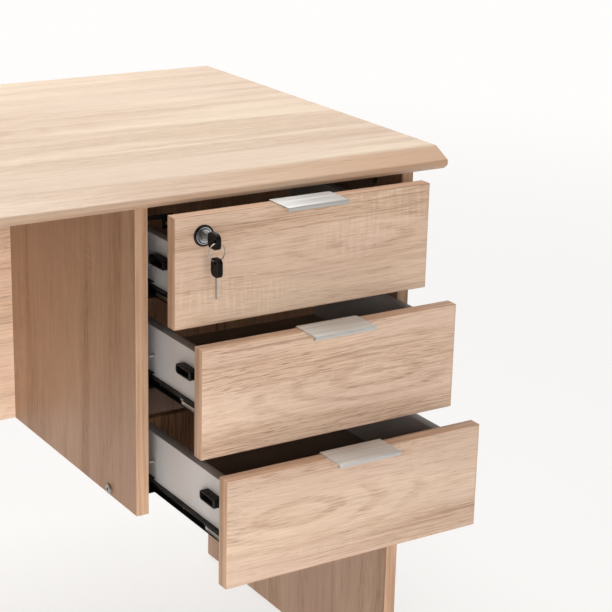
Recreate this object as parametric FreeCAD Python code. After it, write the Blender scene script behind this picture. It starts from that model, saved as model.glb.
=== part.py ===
import FreeCAD, Part
import math
import os

# Pedestal desk with three drawers hung on the right, a central drawer lock and its keys.
# Millimetres. +X is to the sitter's right, +Y to the back, +Z up. The origin lies on the floor,
# in the middle of the box that holds the desk as it stands, with its drawers part open.

# Desktop
DESK_W = 1200.0
DESK_D = 600.0
DESK_H = 750.0
TOP_T = 25.0
TOP_FRONT_OVERHANG = 28.0
TOP_SIDE_OVERHANG = 31.0
FACET_D = 25.5
FACET_DROP = 13.0
NOSE_H = 6.0
UNDERCUT_D = 7.5
NOSE_R = 3.0

# Carcass boards
BOARD_T = 16.0
BOARD_EDGE_R = 0.8
END_PANEL_D = 475.0
INNER_PANEL_D = 355.0
PEDESTAL_W = 348.0
PEDESTAL_H = 380.0
RAIL_D = 100.0
RAIL_SETBACK = 57.0
BACK_PANEL_GAP = 2.0
GLIDE_R = 7.0
GLIDE_H = 4.0
GLIDE_INSET = 40.0
GLIDE_NAIL_R = 1.25
GLIDE_NAIL_L = 14.0

# Drawer fronts and boxes
FRONT_ROWS = 3
FRONT_T = 16.0
FRONT_GAP = 4.0
FRONT_TOP_GAP = 4.5
FRONT_OVERHANG = 19.5
FRONT_REVEAL = 2.5
FRONT_STANDOFF = 1.5
TOP_OPENING = 42.0
MIDDLE_OPENING = 105.0
BOTTOM_OPENING = 162.0
SIDE_T = 12.0
SIDE_GAP = 19.0
SIDE_RISE = 37.0
SIDE_TOP_DROP = 19.0
SIDE_TAIL = 12.0
TOP_BOX_DROP = 21.5
BACK_T = 12.0
BACK_TOP_DROP = 9.5
BASE_T = 3.0
BASE_RISE = 2.5
GROOVE_D = 5.0
GROOVE_PLAY = 0.2

# Lip handles
HANDLE_W = 82.0
HANDLE_T = 2.0
HANDLE_REACH = 25.0
HANDLE_LIP_H = 5.0
HANDLE_RETURN_D = 6.0
HANDLE_RETURN_T = 1.2
HANDLE_FLANGE_H = 18.0
HANDLE_FLANGE_T = 1.5
HANDLE_NOSE_R = 0.9
HANDLE_SCREW_SPACING = 50.0
HANDLE_SCREW_DROP = 10.0

# Ball slides on packing strips: u runs from the strip to the drawer side
SLIDE_T = 10.0
SLIDE_BACK_ROOM = 87.0
SLIDE_RISE = 8.5
SLIDE_WALL = 1.0
SLIDE_START = 1.0
CARCASS_SLIDE_SETBACK = 18.0
CARCASS_MEMBER_H = 19.0
CARCASS_MEMBER_GAP = 1.4
DRAWER_MEMBER_H = 9.5
DRAWER_MEMBER_T = 6.4
SLIDE_SCREW_INSET = 56.0
SLIDE_SLOT_START = 20.0
SLIDE_SLOT_L = 26.0
SLIDE_SLOT_H = 3.0
CAGE_L = 48.0
CAGE_START = 92.0
CAGE_WALL = 0.5
CAGE_WEB_U = 2.6
CAGE_DEPTH = 5.8
BALL_U = 6.2
BALL_PITCH = 18.0
BALLS_PER_ROW = 3
BALL_PLAY = 0.15

# Lock catches on the left drawer sides
CATCH_T = 9.5
CATCH_L = 36.0
CATCH_H = 12.0
CATCH_RISE = 41.8
CATCH_START = 22.0
CATCH_CORNER_R = 3.0
CATCH_RECESS_D = 7.0
CATCH_RECESS_FRONT_WALL = 6.0
CATCH_RECESS_REAR_WALL = 2.5
CATCH_RECESS_TOP_WALL = 2.5
CATCH_RECESS_FOOT_WALL = 2.0

# Lock bar in the inner panel's groove, with a pin for each drawer
BAR_W = 6.6
BAR_T = 4.0
BAR_RECESS = 0.5
BAR_PLAY = 0.2
BAR_SETBACK = 14.5
BAR_TAIL = 9.0
PIN_R = 1.5
PIN_END_GAP = 1.5
PIN_DROP = 1.0
GUIDE_H = 12.0
GUIDE_W = 16.0
GUIDE_LAP = 2.0
GUIDE_T = 1.5
GUIDE_PEG_R = 2.0
GUIDE_PEG_L = 8.0
GUIDE_PEG_INSET = 2.8

# Driver arm from the bar over the drawer side to the lock's crank
ARM_T = 2.0
ARM_H = 5.0
ARM_CLEARANCE = 19.0
ARM_SETBACK = 15.0
ARM_TAB_T = 1.5
ARM_TAB_H = 22.0
ARM_PLATE_W = 13.0
ARM_PLATE_TAIL = 6.0
SLOT_PLAY = 0.3

# Lock
LOCK_INSET = 36.0
LOCK_DROP = 23.5
ROSETTE_R = 11.0
ROSETTE_T = 2.5
ROSETTE_CHAMFER = 1.2
BARREL_R = 9.3
BARREL_TAIL = 4.0
LOCK_NOSE_R = 7.4
LOCK_NOSE_L = 4.0
LOCK_FLANGE_W = 28.0
LOCK_FLANGE_T = 2.5
LOCK_FLANGE_RIM = 0.6
LOCK_SCREW_GAP = 0.5
PLUG_R = 6.0
PLUG_PROUD = 0.5
PLUG_PLAY = 0.08
CRANK_DISC_R = 8.5
CRANK_DISC_T = 2.0
CRANK_GAP = 0.3
CRANK_R = 5.66
CRANK_PIN_R = 1.75
CRANK_PIN_L = 13.5
CRANK_START_DEG = -45.0
CRANK_TURN_DEG = 90.0

# Keys and ring
KEY_HEAD_L = 21.5
KEY_HEAD_W = 18.0
KEY_HEAD_T = 5.2
KEY_HEAD_R = 6.0
KEY_HEAD_EDGE_R = 1.0
KEY_HOLE_R = 2.5
KEY_HOLE_INSET = 5.0
KEY_BLADE_L = 25.0
KEY_BLADE_W = 5.4
KEY_BLADE_T = 2.0
KEY_BLADE_ROOT = 8.0
KEY_STANDOFF = 14.0
HANGING_DEG = -90.0
KEY_PLAY = 0.15
KEY_CUT_D = 1.2
KEY_CUT_W = 2.4
KEY_CUT_PITCH = 4.0
KEY_CUTS = 4
RING_R = 10.2
RING_WIRE_R = 0.6
RING_SEAT = 0.2

# Fasteners
HOLE_PLAY = 0.1
BOLT_R = 3.0
BOLT_L = 50.0
BOLT_HEAD_R = 6.2
BOLT_HEAD_H = 3.2
BOLT_HEAD_ROUND = 1.0
BOLT_SOCKET_AF = 4.0
BOLT_SOCKET_SIDES = 6
BOLT_SOCKET_D = 2.4
BOLT_INSET = 14.0
BARREL_NUT_R = 5.0
BARREL_NUT_L = 14.0
BARREL_NUT_REACH = 30.0
DOWEL_R = 4.0
DOWEL_L = 30.0
DOWEL_SHARE = 12.0
JOINT_INSET = 60.0
KNEE_CAM_INSET = 180.0
DOWEL_OFFSET = 32.0


class CamSize:
    """Sizes of one cam fitting: its disc, and the bolt that the disc draws tight."""

    def __init__(self, disc_r, disc_d, setback, pin_r, thread_r, thread_l):
        self.disc_r = disc_r
        self.disc_d = disc_d
        self.setback = setback
        self.pin_r = pin_r
        self.thread_r = thread_r
        self.thread_l = thread_l


class ScrewSize:
    """Sizes of one screw: its flat head, and the shank below it."""

    def __init__(self, head_r, head_h, shank_r, length):
        self.head_r = head_r
        self.head_h = head_h
        self.shank_r = shank_r
        self.length = length


CARCASS_CAM = CamSize(disc_r=7.5, disc_d=12.5, setback=24.0, pin_r=3.0, thread_r=3.9, thread_l=11.0)
DRAWER_CAM = CamSize(disc_r=6.0, disc_d=9.5, setback=24.0, pin_r=2.5, thread_r=3.0, thread_l=10.0)
CARCASS_SLIDE_SCREW = ScrewSize(head_r=3.2, head_h=1.2, shank_r=1.75, length=22.0)
DRAWER_SLIDE_SCREW = ScrewSize(head_r=3.2, head_h=1.2, shank_r=1.75, length=9.5)
BACK_SCREW = ScrewSize(head_r=3.5, head_h=1.2, shank_r=2.0, length=35.0)
HANDLE_SCREW = ScrewSize(head_r=3.2, head_h=2.0, shank_r=1.75, length=12.0)
CATCH_SCREW = ScrewSize(head_r=2.6, head_h=1.5, shank_r=1.5, length=18.0)
LOCK_SCREW = ScrewSize(head_r=2.8, head_h=1.6, shank_r=1.5, length=12.0)
DRAWER_CAM_RISE = 27.0
DRAWER_CAM_TOP_INSET = 12.0
BACK_SCREW_RISE = 24.0
BACK_SCREW_TOP_INSET = 15.0

# Stations worked out from the sizes
X_RIGHT_OUT = DESK_W / 2 - TOP_SIDE_OVERHANG
X_RIGHT_IN = X_RIGHT_OUT - BOARD_T
X_INNER_R = X_RIGHT_IN - PEDESTAL_W
X_INNER_L = X_INNER_R - BOARD_T
X_LEFT_OUT = -X_RIGHT_OUT
X_LEFT_IN = X_LEFT_OUT + BOARD_T
FURTHEST_OPENING = max(TOP_OPENING, MIDDLE_OPENING, BOTTOM_OPENING)
FRONT_REACH = FRONT_STANDOFF + FURTHEST_OPENING + FRONT_T + HANDLE_REACH
BACK_REACH = DESK_D - TOP_FRONT_OVERHANG
Y_PANEL = (FRONT_REACH - BACK_REACH) / 2
Y_MODESTY = Y_PANEL + INNER_PANEL_D
Y_MODESTY_MID = Y_MODESTY + BOARD_T / 2
Y_RAIL = Y_PANEL + RAIL_SETBACK
Z_UNDER = DESK_H - TOP_T
Z_PEDESTAL = Z_UNDER - PEDESTAL_H
Z_RAIL_MID = Z_PEDESTAL + BOARD_T / 2
X_SIDE_L = X_INNER_R + SIDE_GAP
X_SIDE_R = X_RIGHT_IN - SIDE_GAP
SLIDE_SIDES = (("left", X_INNER_R, 1), ("right", X_RIGHT_IN, -1))
FRONT_STACK_H = PEDESTAL_H + FRONT_OVERHANG - FRONT_TOP_GAP
FRONT_H = (FRONT_STACK_H - (FRONT_ROWS - 1) * FRONT_GAP) / FRONT_ROWS
SIDE_H = FRONT_H - SIDE_RISE - SIDE_TOP_DROP
PACKER_T = SIDE_GAP - SLIDE_T
SLIDE_L = INNER_PANEL_D - CARCASS_SLIDE_SETBACK - SLIDE_BACK_ROOM
SIDE_L = SLIDE_L + SIDE_TAIL
Y_PEDESTAL_BACK = Y_PANEL + CARCASS_SLIDE_SETBACK + SLIDE_L + BACK_PANEL_GAP
BACK_H = SIDE_H - BASE_RISE - BASE_T - BACK_TOP_DROP
CARCASS_MEMBER_T = SLIDE_T - CARCASS_MEMBER_GAP
PIN_REACH = SIDE_GAP - PIN_END_GAP

V = FreeCAD.Vector
ALONG_X = V(1, 0, 0)
ALONG_Y = V(0, 1, 0)
ALONG_Z = V(0, 0, 1)
TOUCH = 1e-6

parts = {}
cuts = {}


class Drawer:
    """Stations of one drawer at rest, from its row below the desktop and how far it stands open."""

    def __init__(self, name, row, opening, box_drop):
        self.name = name
        self.opening = opening
        self.z_top = Z_UNDER - FRONT_TOP_GAP - row * (FRONT_H + FRONT_GAP)
        self.z_front = self.z_top - FRONT_H
        self.y_back = Y_PANEL - FRONT_STANDOFF - opening
        self.y_face = self.y_back - FRONT_T
        self.y_end = self.y_back + SIDE_L
        self.z_side = self.z_front + SIDE_RISE - box_drop
        self.z_base = self.z_side + BASE_RISE
        self.z_slide = self.z_side + SLIDE_RISE
        self.z_catch = self.z_side + CATCH_RISE
        self.z_pin = self.z_catch - PIN_DROP - PIN_R

    def node(self, piece):
        return f"{self.name}_drawer_{piece}"


TOP = Drawer("top", 0, TOP_OPENING, TOP_BOX_DROP)
MIDDLE = Drawer("middle", 1, MIDDLE_OPENING, 0.0)
BOTTOM = Drawer("bottom", 2, BOTTOM_OPENING, 0.0)
DRAWERS = (TOP, MIDDLE, BOTTOM)

X_LOCK = X_INNER_R + FRONT_REVEAL + LOCK_INSET
Z_LOCK = TOP.z_top - LOCK_DROP
BAR_LIFT = 2 * CRANK_R * math.sin(math.radians(CRANK_TURN_DEG / 2))
Y_KEY_HOLE = TOP.y_face - KEY_STANDOFF - KEY_HEAD_L + KEY_HOLE_INSET
# The ring's wire dips by this much between the middle of a key's head and its faces
RING_DIP = RING_R - math.sqrt(RING_R ** 2 - (KEY_HEAD_T / 2) ** 2)
RING_HANG = KEY_HOLE_R - RING_WIRE_R - RING_DIP - RING_SEAT
Z_RING_TOP = Z_LOCK - RING_HANG
Z_RING_FOOT = Z_RING_TOP - 2 * RING_R
Z_SPARE_HOLE = Z_RING_FOOT - RING_HANG


def add(node, *solids):
    parts.setdefault(node, []).extend(solids)


def drill(node, *tools):
    cuts.setdefault(node, []).extend(tools)


def box(x, y, z):
    low = V(min(x), min(y), min(z))
    return Part.makeBox(max(x) - low.x, max(y) - low.y, max(z) - low.z, low)


def board(x, y, z):
    blank = box(x, y, z)
    return blank.makeFillet(BOARD_EDGE_R, blank.Edges)


def rod(start, direction, radius, length):
    return Part.makeCylinder(radius, length, start, direction)


def prism(corners, sweep):
    outline = Part.makePolygon(corners + corners[:1])
    return Part.Face(outline).extrude(sweep)


def round_edges(solid, radius, wanted):
    return solid.makeFillet(radius, [edge for edge in solid.Edges if wanted(edge)])


def runs_along(edge, axis):
    ends = [vertex.Point for vertex in edge.Vertexes]
    return len(ends) == 2 and (ends[1] - ends[0]).normalize().cross(axis).Length < TOUCH


def screw(node, seat, into, size, boards):
    """A screw whose head sits on seat, and its hole in each board that it passes."""
    crown = seat - into * size.head_h
    head = rod(crown, into, size.head_r, size.head_h)
    head = round_edges(head, size.head_h / 2, lambda e: e.CenterOfMass.isEqual(crown, TOUCH))
    add(node, head.fuse(rod(seat, into, size.shank_r, size.length)).removeSplitter())
    for name in boards:
        drill(name, rod(seat, into, size.shank_r + HOLE_PLAY, size.length + HOLE_PLAY))


def cam_joint(bolts, discs, seam, inward, outward, board_t, size, cam_board, mate_board):
    """A bolt in mate_board, drawn in by a disc that is let into cam_board from its outward face."""
    centre = seam + inward * size.setback
    face = centre + outward * (board_t / 2)
    disc = rod(face, outward * -1, size.disc_r, size.disc_d)
    mouth_l = size.disc_r + size.pin_r
    mouth = rod(centre - inward * size.disc_r, inward, size.pin_r + HOLE_PLAY, mouth_l + HOLE_PLAY)
    add(discs, disc.cut(mouth))
    shank = rod(seam, inward, size.pin_r, size.setback + size.pin_r)
    thread = rod(seam, inward * -1, size.thread_r, size.thread_l)
    add(bolts, shank.fuse(thread).removeSplitter())
    drill(cam_board, rod(face, outward * -1, size.disc_r + HOLE_PLAY, size.disc_d + HOLE_PLAY))
    drill(cam_board, rod(seam, inward, size.pin_r + HOLE_PLAY, size.setback + size.pin_r + HOLE_PLAY))
    drill(mate_board, rod(seam, inward * -1, size.thread_r + HOLE_PLAY, size.thread_l + HOLE_PLAY))


def dowel(seam, inward, edge_board, face_board):
    """A wooden dowel across a seam: its longer end lies in the board whose edge meets the seam."""
    add("dowels", rod(seam - inward * DOWEL_SHARE, inward, DOWEL_R, DOWEL_L))
    longest = DOWEL_L - DOWEL_SHARE + HOLE_PLAY
    drill(edge_board, rod(seam, inward, DOWEL_R + HOLE_PLAY, longest))
    drill(face_board, rod(seam, inward * -1, DOWEL_R + HOLE_PLAY, DOWEL_SHARE + HOLE_PLAY))


def carcass_cam(seam, inward, outward, cam_board, mate_board):
    cam_joint("cam_bolts", "cam_discs", seam, inward, outward, BOARD_T, CARCASS_CAM, cam_board, mate_board)


def make_desktop():
    y_nose = Y_PANEL - TOP_FRONT_OVERHANG
    y_back = Y_PANEL + BACK_REACH
    z_facet = DESK_H - FACET_DROP
    z_nose = z_facet - NOSE_H
    x = -DESK_W / 2
    corners = [
        V(x, y_back, Z_UNDER),
        V(x, y_back, DESK_H),
        V(x, y_nose + FACET_D, DESK_H),
        V(x, y_nose, z_facet),
        V(x, y_nose, z_nose),
        V(x, y_nose + UNDERCUT_D, Z_UNDER),
    ]
    slab = prism(corners, V(DESK_W, 0, 0))
    nose_end = y_nose + FACET_D + NOSE_R
    slab = round_edges(slab, NOSE_R, lambda e: runs_along(e, ALONG_X) and e.CenterOfMass.y < nose_end)
    sharp = slab.BoundBox.YMax - BOARD_EDGE_R
    slab = round_edges(slab, BOARD_EDGE_R, lambda e: runs_along(e, ALONG_X) and e.CenterOfMass.y > sharp)
    add("desktop", slab)


def make_carcass():
    panel_y = (Y_PANEL, Y_PANEL + END_PANEL_D)
    add("left_end_panel", board((X_LEFT_OUT, X_LEFT_IN), panel_y, (GLIDE_H, Z_UNDER)))
    add("right_end_panel", board((X_RIGHT_IN, X_RIGHT_OUT), panel_y, (GLIDE_H, Z_UNDER)))
    hung = (Z_PEDESTAL, Z_UNDER)
    add("inner_panel", board((X_INNER_L, X_INNER_R), (Y_PANEL, Y_MODESTY), hung))
    add("modesty_panel", board((X_LEFT_IN, X_RIGHT_IN), (Y_MODESTY, Y_MODESTY + BOARD_T), hung))
    back_y = (Y_PEDESTAL_BACK, Y_PEDESTAL_BACK + BOARD_T)
    add("pedestal_back_panel", board((X_INNER_R, X_RIGHT_IN), back_y, hung))
    rail_z = (Z_PEDESTAL, Z_PEDESTAL + BOARD_T)
    add("bottom_rail", board((X_INNER_R, X_RIGHT_IN), (Y_RAIL, Y_RAIL + RAIL_D), rail_z))


def make_end_panel_joints(panel, x_mid, facing):
    """Cams and dowels from one end panel to the desktop and the modesty panel, and its glides."""
    stations = (JOINT_INSET, END_PANEL_D / 2, END_PANEL_D - JOINT_INSET)
    for station in stations:
        seam = V(x_mid, Y_PANEL + station, Z_UNDER)
        carcass_cam(seam, ALONG_Z * -1, facing, panel, "desktop")
    for station in (JOINT_INSET + DOWEL_OFFSET, END_PANEL_D - JOINT_INSET - DOWEL_OFFSET):
        dowel(V(x_mid, Y_PANEL + station, Z_UNDER), ALONG_Z * -1, panel, "desktop")
    x_seam = x_mid + facing.x * BOARD_T / 2
    for z in (Z_PEDESTAL + JOINT_INSET, Z_UNDER - JOINT_INSET):
        carcass_cam(V(x_seam, Y_MODESTY_MID, z), facing, ALONG_Y, "modesty_panel", panel)
    z_dowel = Z_PEDESTAL + JOINT_INSET + DOWEL_OFFSET
    dowel(V(x_seam, Y_MODESTY_MID, z_dowel), facing, "modesty_panel", panel)
    for station in (GLIDE_INSET, END_PANEL_D - GLIDE_INSET):
        foot = V(x_mid, Y_PANEL + station, 0)
        nail = rod(foot + ALONG_Z * GLIDE_H, ALONG_Z, GLIDE_NAIL_R, GLIDE_NAIL_L)
        add("floor_glides", rod(foot, ALONG_Z, GLIDE_R, GLIDE_H).fuse(nail).removeSplitter())
        nail_hole = rod(foot, ALONG_Z, GLIDE_NAIL_R + HOLE_PLAY, GLIDE_H + GLIDE_NAIL_L + HOLE_PLAY)
        drill(panel, nail_hole)


def make_pedestal_joints():
    x_mid = (X_INNER_L + X_INNER_R) / 2
    for station in (JOINT_INSET, INNER_PANEL_D - JOINT_INSET):
        seam = V(x_mid, Y_PANEL + station, Z_UNDER)
        carcass_cam(seam, ALONG_Z * -1, ALONG_X, "inner_panel", "desktop")
    dowel(V(x_mid, Y_PANEL + INNER_PANEL_D / 2, Z_UNDER), ALONG_Z * -1, "inner_panel", "desktop")
    for z in (Z_PEDESTAL + JOINT_INSET, Z_UNDER - JOINT_INSET):
        carcass_cam(V(x_mid, Y_MODESTY, z), ALONG_Y * -1, ALONG_X, "inner_panel", "modesty_panel")
    for x_cam in (X_LEFT_IN + KNEE_CAM_INSET, X_INNER_L - KNEE_CAM_INSET):
        seam = V(x_cam, Y_MODESTY_MID, Z_UNDER)
        carcass_cam(seam, ALONG_Z * -1, ALONG_Y, "modesty_panel", "desktop")
    rail_mid = Y_RAIL + RAIL_D / 2
    seam = V(X_RIGHT_IN, rail_mid, Z_RAIL_MID)
    carcass_cam(seam, ALONG_X * -1, ALONG_Z * -1, "bottom_rail", "right_end_panel")
    y_dowel = Y_RAIL + RAIL_D - BOLT_INSET
    dowel(V(X_RIGHT_IN, y_dowel, Z_RAIL_MID), ALONG_X * -1, "bottom_rail", "right_end_panel")
    dowel(V(X_INNER_R, y_dowel, Z_RAIL_MID), ALONG_X, "bottom_rail", "inner_panel")
    back_mid = Y_PEDESTAL_BACK + BOARD_T / 2
    for z in (Z_PEDESTAL + JOINT_INSET, Z_UNDER - JOINT_INSET):
        dowel(V(X_INNER_R, back_mid, z), ALONG_X, "pedestal_back_panel", "inner_panel")
        dowel(V(X_RIGHT_IN, back_mid, z), ALONG_X * -1, "pedestal_back_panel", "right_end_panel")


def make_connector_bolt():
    """A socket-head bolt through the inner panel into a barrel nut in the rail."""
    seat = V(X_INNER_L, Y_RAIL + BOLT_INSET, Z_RAIL_MID)
    crown = seat - ALONG_X * BOLT_HEAD_H
    head = rod(crown, ALONG_X, BOLT_HEAD_R, BOLT_HEAD_H)
    head = round_edges(head, BOLT_HEAD_ROUND, lambda e: e.CenterOfMass.isEqual(crown, TOUCH))
    corner_r = BOLT_SOCKET_AF / 2 / math.cos(math.pi / BOLT_SOCKET_SIDES)
    angles = [2 * math.pi * step / BOLT_SOCKET_SIDES for step in range(BOLT_SOCKET_SIDES)]
    hexagon = [crown + V(0, corner_r * math.cos(a), corner_r * math.sin(a)) for a in angles]
    socket = prism(hexagon, ALONG_X * BOLT_SOCKET_D)
    add("connector_bolt", head.fuse(rod(seat, ALONG_X, BOLT_R, BOLT_L)).removeSplitter().cut(socket))
    hole = rod(seat, ALONG_X, BOLT_R + HOLE_PLAY, BOLT_L + HOLE_PLAY)
    drill("inner_panel", hole)
    drill("bottom_rail", hole)
    nut_foot = V(X_INNER_R + BARREL_NUT_REACH, seat.y, Z_RAIL_MID - BARREL_NUT_L / 2)
    add("barrel_nut", rod(nut_foot, ALONG_Z, BARREL_NUT_R, BARREL_NUT_L))
    drill("barrel_nut", hole)
    mouth = V(nut_foot.x, nut_foot.y, Z_PEDESTAL)
    depth = nut_foot.z + BARREL_NUT_L - Z_PEDESTAL
    drill("bottom_rail", rod(mouth, ALONG_Z, BARREL_NUT_R + HOLE_PLAY, depth + HOLE_PLAY))


def channel(face, hand, u_web, u_tip, half_h, wall, y):
    """A C-shaped strip: its web stands at u_web and its two flanges reach to u_tip."""
    toward = 1 if u_tip > u_web else -1
    u_inside = u_web + toward * wall
    corners = [
        (u_web, -half_h), (u_tip, -half_h), (u_tip, wall - half_h), (u_inside, wall - half_h),
        (u_inside, half_h - wall), (u_tip, half_h - wall), (u_tip, half_h), (u_web, half_h),
    ]
    points = [V(face + hand * u, y[0], z) for u, z in corners]
    return prism(points, V(0, y[1] - y[0], 0))


def make_slides(drawer):
    """Both ball slides of one drawer: packing strips, carcass and drawer members, cages and screws."""
    carcass_node = f"{drawer.name}_carcass_slides"
    runner_node = drawer.node("runners")
    carcass_y = (Y_PANEL + CARCASS_SLIDE_SETBACK, Y_PANEL + CARCASS_SLIDE_SETBACK + SLIDE_L)
    runner_y = (drawer.y_back + SLIDE_START, drawer.y_back + SLIDE_START + SLIDE_L)
    lift = ALONG_Z * drawer.z_slide
    carcass_boards = {"left": "inner_panel", "right": "right_end_panel"}
    packer_z = (drawer.z_slide - CARCASS_MEMBER_H / 2, drawer.z_slide + CARCASS_MEMBER_H / 2)
    for side, board_face, hand in SLIDE_SIDES:
        outward = ALONG_X * hand
        face = board_face + hand * PACKER_T
        add("slide_packers", box((board_face, face), carcass_y, packer_z))
        member = channel(face, hand, 0, CARCASS_MEMBER_T, CARCASS_MEMBER_H / 2, SLIDE_WALL, carcass_y)
        add(carcass_node, member.translated(lift))
        u_flange = SLIDE_T - DRAWER_MEMBER_T
        runner = channel(face, hand, SLIDE_T, u_flange, DRAWER_MEMBER_H / 2, SLIDE_WALL, runner_y)
        add(runner_node, runner.translated(lift))
        slot_x = (face + hand * (SLIDE_T - 2 * SLIDE_WALL), face + hand * (SLIDE_T + SLIDE_WALL))
        slot_y = (runner_y[0] + SLIDE_SLOT_START, runner_y[0] + SLIDE_SLOT_START + SLIDE_SLOT_L)
        slot_z = (drawer.z_slide - SLIDE_SLOT_H / 2, drawer.z_slide + SLIDE_SLOT_H / 2)
        drill(runner_node, box(slot_x, slot_y, slot_z))
        for station in (SLIDE_SCREW_INSET, SLIDE_L - SLIDE_SCREW_INSET):
            seat = V(face + hand * SLIDE_WALL, carcass_y[0] + station, drawer.z_slide)
            boards = (carcass_node, "slide_packers", carcass_boards[side])
            screw("slide_screws", seat, outward * -1, CARCASS_SLIDE_SCREW, boards)
            seat = V(face + hand * (SLIDE_T - SLIDE_WALL), runner_y[0] + station, drawer.z_slide)
            boards = (runner_node, drawer.node(f"{side}_side"))
            screw(drawer.node("fasteners"), seat, outward, DRAWER_SLIDE_SCREW, boards)
        make_ball_cage(drawer, face, hand)


def make_ball_cage(drawer, face, hand):
    """A bent strip that spaces two rows of balls; it travels half as far as the drawer."""
    node = f"{drawer.name}_ball_cages"
    y_front = Y_PANEL + CARCASS_SLIDE_SETBACK + CAGE_START - drawer.opening / 2
    race = (CARCASS_MEMBER_H / 2 - SLIDE_WALL - DRAWER_MEMBER_H / 2) / 2
    row_z = DRAWER_MEMBER_H / 2 + race
    ball_r = race - BALL_PLAY
    u_tip = CAGE_WEB_U + CAGE_DEPTH
    half_h = row_z + CAGE_WALL / 2
    cage = channel(face, hand, CAGE_WEB_U, u_tip, half_h, CAGE_WALL, (y_front, y_front + CAGE_L))
    cage.translate(ALONG_Z * drawer.z_slide)
    first = (CAGE_L - (BALLS_PER_ROW - 1) * BALL_PITCH) / 2
    x = face + hand * BALL_U
    seats = []
    for index in range(BALLS_PER_ROW):
        for z in (drawer.z_slide - row_z, drawer.z_slide + row_z):
            centre = V(x, y_front + first + index * BALL_PITCH, z)
            seats.append(rod(centre - ALONG_Z * race, ALONG_Z, ball_r + BALL_PLAY, 2 * race))
            add(node, Part.makeSphere(ball_r, centre))
    add(node, cage.cut(seats))


def make_drawer_box(drawer):
    x_in = (X_SIDE_L + SIDE_T, X_SIDE_R - SIDE_T)
    box_y = (drawer.y_back, drawer.y_end)
    box_z = (drawer.z_side, drawer.z_side + SIDE_H)
    fasteners = drawer.node("fasteners")
    front_x = (X_INNER_R + FRONT_REVEAL, X_RIGHT_IN - FRONT_REVEAL)
    front_z = (drawer.z_front, drawer.z_top)
    add(drawer.node("front"), board(front_x, (drawer.y_face, drawer.y_back), front_z))
    add(drawer.node("left_side"), box((X_SIDE_L, x_in[0]), box_y, box_z))
    add(drawer.node("right_side"), box((x_in[1], X_SIDE_R), box_y, box_z))

    base_z = (drawer.z_base, drawer.z_base + BASE_T)
    base_x = (x_in[0] - GROOVE_D + GROOVE_PLAY, x_in[1] + GROOVE_D - GROOVE_PLAY)
    base_y = (drawer.y_back - GROOVE_D + GROOVE_PLAY, drawer.y_end)
    add(drawer.node("base"), box(base_x, base_y, base_z))
    groove_x = (x_in[0] - GROOVE_D, x_in[1] + GROOVE_D)
    groove_z = (base_z[0] - GROOVE_PLAY, base_z[1] + GROOVE_PLAY)
    groove = box(groove_x, (drawer.y_back - GROOVE_D, drawer.y_end), groove_z)
    for piece in ("front", "left_side", "right_side"):
        drill(drawer.node(piece), groove)

    back_y = (drawer.y_end - BACK_T, drawer.y_end)
    add(drawer.node("back"), box(x_in, back_y, (base_z[1], base_z[1] + BACK_H)))
    sides = (
        ("left_side", X_SIDE_L, X_SIDE_L + SIDE_T / 2, ALONG_X),
        ("right_side", X_SIDE_R, X_SIDE_R - SIDE_T / 2, ALONG_X * -1),
    )
    for piece, x_face, x_mid, inward in sides:
        for rise in (BACK_SCREW_RISE, SIDE_H - BACK_SCREW_TOP_INSET):
            seat = V(x_face, drawer.y_end - BACK_T / 2, drawer.z_side + rise)
            screw(fasteners, seat, inward, BACK_SCREW, (drawer.node(piece), drawer.node("back")))
        for rise in (DRAWER_CAM_RISE, SIDE_H - DRAWER_CAM_TOP_INSET):
            seam = V(x_mid, drawer.y_back, drawer.z_side + rise)
            boards = (drawer.node(piece), drawer.node("front"))
            cam_joint(fasteners, fasteners, seam, ALONG_Y, inward, SIDE_T, DRAWER_CAM, *boards)


def make_handle(drawer):
    """A lip handle: its plate lies on the front's top edge, and a flange is screwed behind."""
    x = (X_INNER_R + X_RIGHT_IN - HANDLE_W) / 2
    y_tip = drawer.y_face - HANDLE_REACH
    y_rear = drawer.y_back + HANDLE_FLANGE_T
    z_plate = drawer.z_top
    z_crown = z_plate + HANDLE_T
    z_lip = z_crown - HANDLE_LIP_H
    corners = [
        (y_tip, z_crown), (y_tip, z_lip), (y_tip + HANDLE_RETURN_D, z_lip),
        (y_tip + HANDLE_RETURN_D, z_lip + HANDLE_RETURN_T), (y_tip + HANDLE_T, z_lip + HANDLE_RETURN_T),
        (y_tip + HANDLE_T, z_plate), (drawer.y_back, z_plate),
        (drawer.y_back, z_plate - HANDLE_FLANGE_H), (y_rear, z_plate - HANDLE_FLANGE_H), (y_rear, z_crown),
    ]
    pull = prism([V(x, y, z) for y, z in corners], V(HANDLE_W, 0, 0))
    at_tip = [e for e in pull.Edges if runs_along(e, ALONG_X) and e.BoundBox.YMax < y_tip + TOUCH]
    pull = pull.makeFillet(HANDLE_NOSE_R, at_tip)
    node = drawer.node("handle")
    add(node, pull)
    for side in (-1, 1):
        x_screw = x + HANDLE_W / 2 + side * HANDLE_SCREW_SPACING / 2
        seat = V(x_screw, y_rear, z_plate - HANDLE_SCREW_DROP)
        screw(drawer.node("fasteners"), seat, ALONG_Y * -1, HANDLE_SCREW, (node, drawer.node("front")))


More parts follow.
